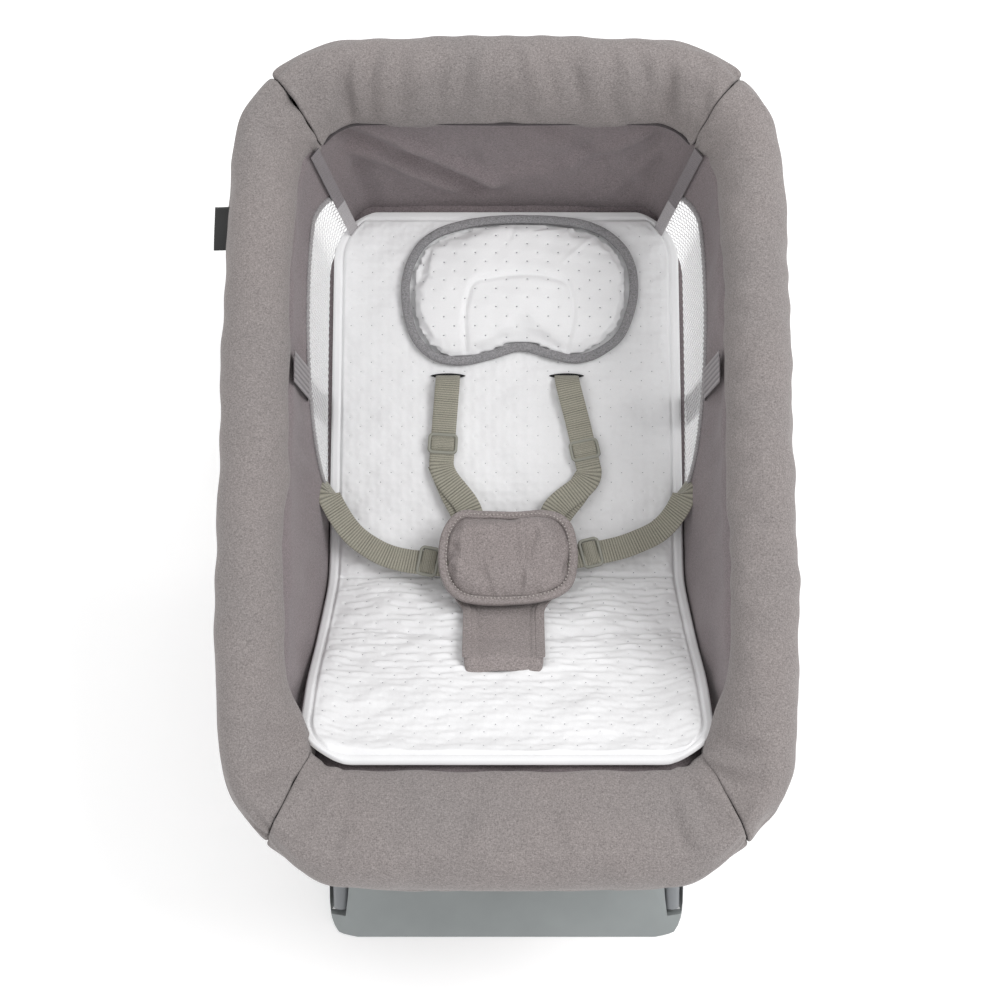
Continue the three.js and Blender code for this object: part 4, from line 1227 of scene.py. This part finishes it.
# ---- the harness --------------------------------------------------------------------------------
# The straps' routes and the pad's outline are in millimetres.
SHOULDER = {
    "left": [(-60, 118, -182.5), (-66, 24, -179), (-36, -32, -171), (-33, -52, -169)],
    "right": [(62, 118, -182.5), (84, 16, -179), (46, -32, -171), (42, -52, -169)],
}
WAIST = {
    "left": [(-171, -29, -161), (-152, -54, -171), (-128, -70, -173), (-50, -86, -167)],
    "right": [(171, -29, -161), (154, -48, -171), (130, -60, -173), (59, -78, -167)],
}
BUCKLE = np.array((1.5, -81, -147)) * MM
BUCKLE_TILT = radians(-12)
PAD_OUTLINE = [(-50, 48), (-23, 49), (6, 48), (34, 50), (54, 45), (66, 28), (69, -4), (62, -32), (38, -46),
               (-4, -51), (-42, -48), (-61, -34), (-69, -8), (-66, 26)]
PAD_CREASES = [(2.6, (12, 44), (18, -30), 4), (-2.6, (26, 20), (8, -46), 3.4),
               (2.2, (-20, -10), (-10, -46), 3.4), (1.6, (-44, 30), (-50, -20), 4),
               (1.8, (-10, 46), (34, 36), 4)]
GLIDE_HALF_WIDTH = 15.2 * MM
GLIDE_HALF_LENGTH = 10.4 * MM
GLIDE_CORNER = 4.5 * MM
GLIDE_LIFT = 0.8 * MM
CROTCH_ACROSS = np.array([0, 0.2, 0.4, 0.64, 0.67, 0.72, 0.82, 0.93, 0.985, 1])
CROTCH_THICK = np.array([3.5, 3.4, 3.0, 1.9, 0.9, 3.4, 3.9, 3.6, 2.2, 0.8]) * MM
CROTCH_BINDINGS = (("left", 2), ("right", 16))


def strap(name, path, thickness, ribs, pitch, up=(0, 0, 1)):
    """A run of the harness webbing; path and sizes are millimetres."""
    return flat_ribbon(name, np.array(path) * MM, WEBBING, thickness * MM, STRAP, up, ribs * MM, pitch * MM)


def harness():
    for name, side in SIDES:
        start, knee, low, end = np.array(SHOULDER[name])
        start = start - (0, 5, 0)
        half_way = (start + knee) / 2 + (0, 0, 1)
        strap(f"shoulder_web_upper_{name}", [start + (0, 3, -4), start, half_way, knee], 1.5, 0.2, 2.3)
        front = [knee - (knee - start) * 0.03, knee, low, end, end + (end - low) * 0.6]
        lower = strap(f"shoulder_web_lower_{name}", front, 1.4, 0.6, 2.9)
        shift = np.array((side * 5, -2, -3.2))
        behind = [knee + shift * 0.4, (knee + low) / 2 + shift, low + shift * 1.3, end + shift]
        strap(f"shoulder_web_return_{name}", behind, 1.4, 0.6, 2.9)
        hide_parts(f"shoulder_strap_{name}")
        shoulder_slot(f"shoulder_slot_{name}", (start + (0, 3, -3.4)) * MM)

        first, second, third, last = np.array(WAIST[name])
        outer = first + (side * 7, 14, 6)
        hidden = outer + (-side * 3, 8, -26)
        path = [hidden, outer, first, second, third, last, last + (last - third) * 0.2]
        waist = strap(f"waist_web_{name}", path, 1.5, 0.5, 2.7, (-side * 0.35, 0.12, 1))
        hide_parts(f"waist_strap_{name}")
        tri_glide(f"shoulder_adjuster_{name}", *SHOULDER[name][:2], 0.8)
        tri_glide(f"waist_adjuster_{name}", WAIST[name][3], WAIST[name][2], 0.36)


def shoulder_slot(name, place):
    """The slit in the liner that a shoulder strap comes out of: a flat pointed oval, near black as painted
    shade for the shadow inside the slit.
    """
    cosine, sine = oval(1, 1, 40).T
    outline = place[:2] + np.stack([18 * MM * cosine, 2.6 * MM * sine * np.abs(sine) ** 0.4], -1)
    points, faces = dished(outline, place[:2], 3, lambda s: place[2] + 0.9 * MM * (1 - s**2),
                           lambda s: place[2] - 0.9 * MM)
    seat_piece(name, points, faces, PAINTED_SLOT_SHADE, "lining")


def tri_glide(name, start, end, share):
    """A moulded adjuster: an open rounded frame with the webbing rolled over its middle bar."""
    start, end = np.array(start) * MM, np.array(end) * MM
    along = (end - start) / np.linalg.norm(end - start)
    across = np.cross(along, (0, 0, 1))
    across /= np.linalg.norm(across)
    up = np.cross(across, along)
    middle = start + (end - start) * share
    corner = oval(1, 1, 48)
    straight = np.array((GLIDE_HALF_WIDTH, GLIDE_HALF_LENGTH)) - GLIDE_CORNER
    outline = (np.sign(corner) * straight + GLIDE_CORNER * corner) * 0.9
    around = oval(1, 1, 14)
    ring = np.sign(around) * np.abs(around) ** 0.7 * (1.7 * MM, 2.1 * MM)
    points, faces = looped(np.column_stack([outline, 0 * outline[:, 0]]), ring, outward_normals(outline))
    placed = middle + points[:, :1] * across + points[:, 1:2] * along + (points[:, 2:] + GLIDE_LIFT) * up
    piece = seat_piece(f"{name}_frame", placed, faces, CLIP, "clip", name)
    subdivided(piece)
    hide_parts(name)
    over = [middle + along * r * 6.6 * MM + up * (GLIDE_LIFT + 3.0 * MM * sqrt(1 - 0.9 * r * r) - 1.6 * MM)
            for r in np.linspace(-1, 1, 30)]
    flat_ribbon(f"{name}_webbing", over, 23.4 * MM, 1.4 * MM, STRAP, tuple(up), 0.2 * MM, 1.6 * MM, name)


def on_buckle(points):
    """Places points given round the buckle pad's middle, in its own tilted plane."""
    x, y, z = np.moveaxis(np.asarray(points, float), -1, 0)
    turned = (x, y * cos(BUCKLE_TILT) - z * sin(BUCKLE_TILT), y * sin(BUCKLE_TILT) + z * cos(BUCKLE_TILT))
    return BUCKLE + np.stack(turned, -1)


def buckle_pad():
    outline = closed_curve(np.array(PAD_OUTLINE) * MM, 130)
    stitch = outline * 0.885
    points, faces = dished(outline * 0.985, (0, 0), 26, lambda s: 4 * MM + 6 * MM * (1 - s**3),
                           lambda s: 1 * MM)
    piece = seat_piece("buckle_pad", on_buckle(points), faces, PAD_CLOTH, "melange")
    inflated(piece, 5 * MM)

    def finish(own):
        x, y, z = (own - BUCKLE).T
        y, z = y * cos(BUCKLE_TILT) + z * sin(BUCKLE_TILT), -y * sin(BUCKLE_TILT) + z * cos(BUCKLE_TILT)
        z = np.maximum(z, 0.6 * MM)
        upper = smooth((z - 3 * MM) / (5 * MM))
        soft = creases(x, y, PAD_CREASES) + 1.3 * MM * folds(x, y, 30 * MM, 71)
        sewn = 2.4 * MM * near_path(x, y, np.vstack([stitch, stitch[:1]]), 2 * MM)
        return on_buckle(np.stack([x, y, z + upper * (soft - sewn)], -1))

    reshaped(piece, finish)
    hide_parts("buckle_cover")
    points, faces = binding_ring(outline, 4.6 * MM, 9 * MM, 8 * MM)
    subdivided(seat_piece("buckle_pad_binding", on_buckle(points), faces, PAD_CLOTH, "melange"))
    places = respaced(stitch, 96, closed=True)
    marks = on_buckle(np.column_stack([places, np.full(len(places), 9.6 * MM)]))
    stitch_marks("buckle_pad_stitches", marks, 0, THREAD)


def crotch_panel():
    """The strap between the legs: a padded panel with bound sides, tucked into the liner."""
    share = np.linspace(-0.12, 1.16, 42)[:, None]
    top = np.array((-3, -116, -160)) * MM
    low = np.array((-3, -184, -99)) * MM
    middle = top + (low - top) * share
    half = 38 * MM + 13 * MM * smooth((0.34 - share) / 0.4) - 3 * MM * smooth((share - 1.06) / 0.1) ** 2
    across = np.concatenate([-CROTCH_ACROSS[:0:-1], CROTCH_ACROSS])
    thick = np.concatenate([CROTCH_THICK[:0:-1], CROTCH_THICK])
    normal = np.array((0, 0.667, 0.745))
    x = middle[:, :1] + across * half
    bow = -2.5 * MM * across**2 * smooth(share)
    ripple = 0.8 * MM * folds(x, middle[:, 1:2] + 0 * x, 30 * MM, 75) * smooth((0.9 - share) / 0.2)
    tuck = 2.5 * MM * smooth((share - 0.7) / 0.3) - 9 * MM * smooth((share - 1.06) / 0.1)
    base = np.stack([x, middle[:, 1:2] + 0 * x, middle[:, 2:] + 0 * x], -1)
    upper = base + normal * (thick + bow + ripple + tuck)[..., None]
    lower = base + normal * (bow + tuck - 0.5 * MM)[..., None]
    piece = seat_piece("crotch_panel", *closed_pad(upper, lower), PAD_CLOTH, "melange")
    subdivided(piece)
    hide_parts("crotch_strap")
    for name, column in CROTCH_BINDINGS:
        path = upper[:-3, column] + normal * 0.5 * MM
        subdivided(flat_ribbon(f"crotch_binding_{name}", path, 9 * MM, 2 * MM, PAD_CLOTH, tuple(normal),
                               slot="melange"))


# ---- small things on the rim --------------------------------------------------------------------
HEM_PROFILE = np.array([(-3.5, -16), (-1.5, -17), (-0.6, -21), (-0.8, -25), (-0.2, -29), (-1.0, -31.5),
                        (-2.6, -31.5), (-3.2, -28), (-4.5, -22)]) * MM


def side_tag():
    """A small folded satin tag, left blank, sewn into the outer side of the left cover."""
    x = np.linspace(-260, -277, 14)[:, None] * MM
    y = np.linspace(190, 233, 16) * MM
    z = 1.5 * MM * np.sin((x + 262 * MM) / (19 * MM) * 2) + 0.8 * MM * np.sin((y - 190 * MM) / (43 * MM) * 5)
    piece = seat_piece("side_tag", *shell(np.stack([x + 0 * y, y + 0 * x, z], -1), 1.1 * MM), TAG, "webbing")


def cover_hem():
    """The stitched hem that closes the cover under its outer edge, all the way round."""
    half = np.linspace(0, HEAD_MIDDLE, 260)
    rows = []
    for side, runs in ((1, half), (-1, half[-2:0:-1])):
        centre, outward = rim_point(runs, side)
        reach = spline(runs, REACH_AT, OUTER) + 0.7 * MM * folds(runs * side, 0 * runs, 70 * MM, 81)
        out = reach[:, None] + HEM_PROFILE[:, 0]
        place = centre[:, None] + outward[:, None] * out[..., None]
        drop = HEM_PROFILE[:, 1] - 2.5 * MM * smooth(1 - runs[:, None] / (260 * MM))
        rows.append(np.concatenate([place, drop[..., None]], -1))
    grid = np.concatenate(rows)
    faces = grid_faces(*grid.shape[:2], True, True)
    subdivided(seat_piece("cover_hem", grid.reshape(-1, 3), faces, RIM_CLOTH, "melange"))


# ---- hard parts ---------------------------------------------------------------------------------
BODY_OF = {node: body for body, nodes in frame["record"]["behaviour"]["bodies"].items() for node in nodes}


MERGE = 2e-6
SHARP_EDGE = radians(32)
CREASED_EDGE = radians(38)


def folded(edge, angle):
    """Whether an edge between two faces is bent by more than angle."""
    return len(edge.link_faces) == 2 and edge.calc_face_angle(0) > angle


def softened(node, edge_radius, material, slot, round_tube=False):
    """The CAD node's own shape with its sharp edges rounded, in its place. A round tube keeps its facets;
    any other part has its flat faces joined first."""
    piece = NODES[node].copy()
    piece.data = NODES[node].data.copy()
    piece.name = f"{node}_finished"
    piece.parent = None
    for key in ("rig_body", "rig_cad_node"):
        if key in piece:
            del piece[key]
    scene.collection.objects.link(piece)
    piece.data.materials.clear()
    piece.data.materials.append(material)
    shape = bmesh.new()
    shape.from_mesh(piece.data)
    bmesh.ops.remove_doubles(shape, verts=shape.verts, dist=MERGE)
    bmesh.ops.dissolve_degenerate(shape, edges=shape.edges, dist=MERGE)
    if round_tube:
        bmesh.ops.join_triangles(shape, faces=shape.faces, angle_face_threshold=0.3,
                                 angle_shape_threshold=1.2)
    else:
        bmesh.ops.dissolve_limit(shape, angle_limit=radians(1), verts=shape.verts, edges=shape.edges)
    sharp = [edge for edge in shape.edges if folded(edge, SHARP_EDGE)]
    bmesh.ops.bevel(shape, geom=sharp, offset=edge_radius * MM, offset_type="OFFSET", segments=3,
                    profile=0.5, affect="EDGES", clamp_overlap=True)
    bmesh.ops.remove_doubles(shape, verts=shape.verts, dist=MERGE)
    bmesh.ops.recalc_face_normals(shape, faces=shape.faces)
    for face in shape.faces:
        face.smooth = True
    for edge in shape.edges:
        edge.smooth = not folded(edge, CREASED_EDGE)
    shape.to_mesh(piece.data)
    shape.free()
    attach(piece, BODY_OF[node])
    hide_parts(node)


# Each hard part's edge radius in millimetres, its material and its slot.
END_PARTS = {"foot_cover": (2.6, HOUSING, "housing"), "foot_plate": (0.6, TRIM, "housing")}
END_PAIRS = {"foot_pad": (0.8, RUBBER, "rubber"), "leg_tube": (0.5, TUBE, "tube")}
SIDE_PAIRS = {
    "hub_outer": (2.2, HOUSING, "housing"),
    "hub_middle": (2.2, HOUSING, "housing"),
    "seat_bracket": (1.4, HOUSING, "housing"),
    "ratchet_disc": (0.8, TRIM, "housing"),
    "hub_axle": (0.5, STEEL, "steel"),
    "bounce_spring": (0.3, STEEL, "steel"),
    "recline_button": (1.2, TRIM, "button"),
    "fold_latch": (1.0, TRIM, "button"),
    "buckle_tongue": (0.7, CLIP, "clip"),
}
MIDDLE_PARTS = {"buckle_body": (1.2, CLIP, "clip"), "buckle_button": (0.6, TRIM, "button")}
ROUND_PARTS = ("leg_tube", "bounce_spring")
PLAIN_PARTS = {"rim_tube_head": STEEL, "rim_tube_foot": STEEL, "backrest_board": BOARD}


def hard_parts():
    for end in ("front", "rear"):
        for part, look in END_PARTS.items():
            softened(f"{end}_{part}", *look)
        for name, _side in SIDES:
            for part, look in END_PAIRS.items():
                softened(f"{end}_{part}_{name}", *look, round_tube=part in ROUND_PARTS)
    for name, _side in SIDES:
        for part, look in SIDE_PAIRS.items():
            softened(f"{part}_{name}", *look, round_tube=part in ROUND_PARTS)
    for node, look in MIDDLE_PARTS.items():
        softened(node, *look)
    for node, material in PLAIN_PARTS.items():
        for slot in NODES[node].material_slots:
            slot.material = material


studio()
padded_rim()
lip_shadow_cord()
for name, side in SIDES:
    side_wall(name, side)
    net_window(name, side)
head_wall()
corner_tapes()
ribbed_bands()
under_cover()
liner()
head_pillow()
harness()
buckle_pad()
crotch_panel()
side_tag()
cover_hem()
hard_parts()
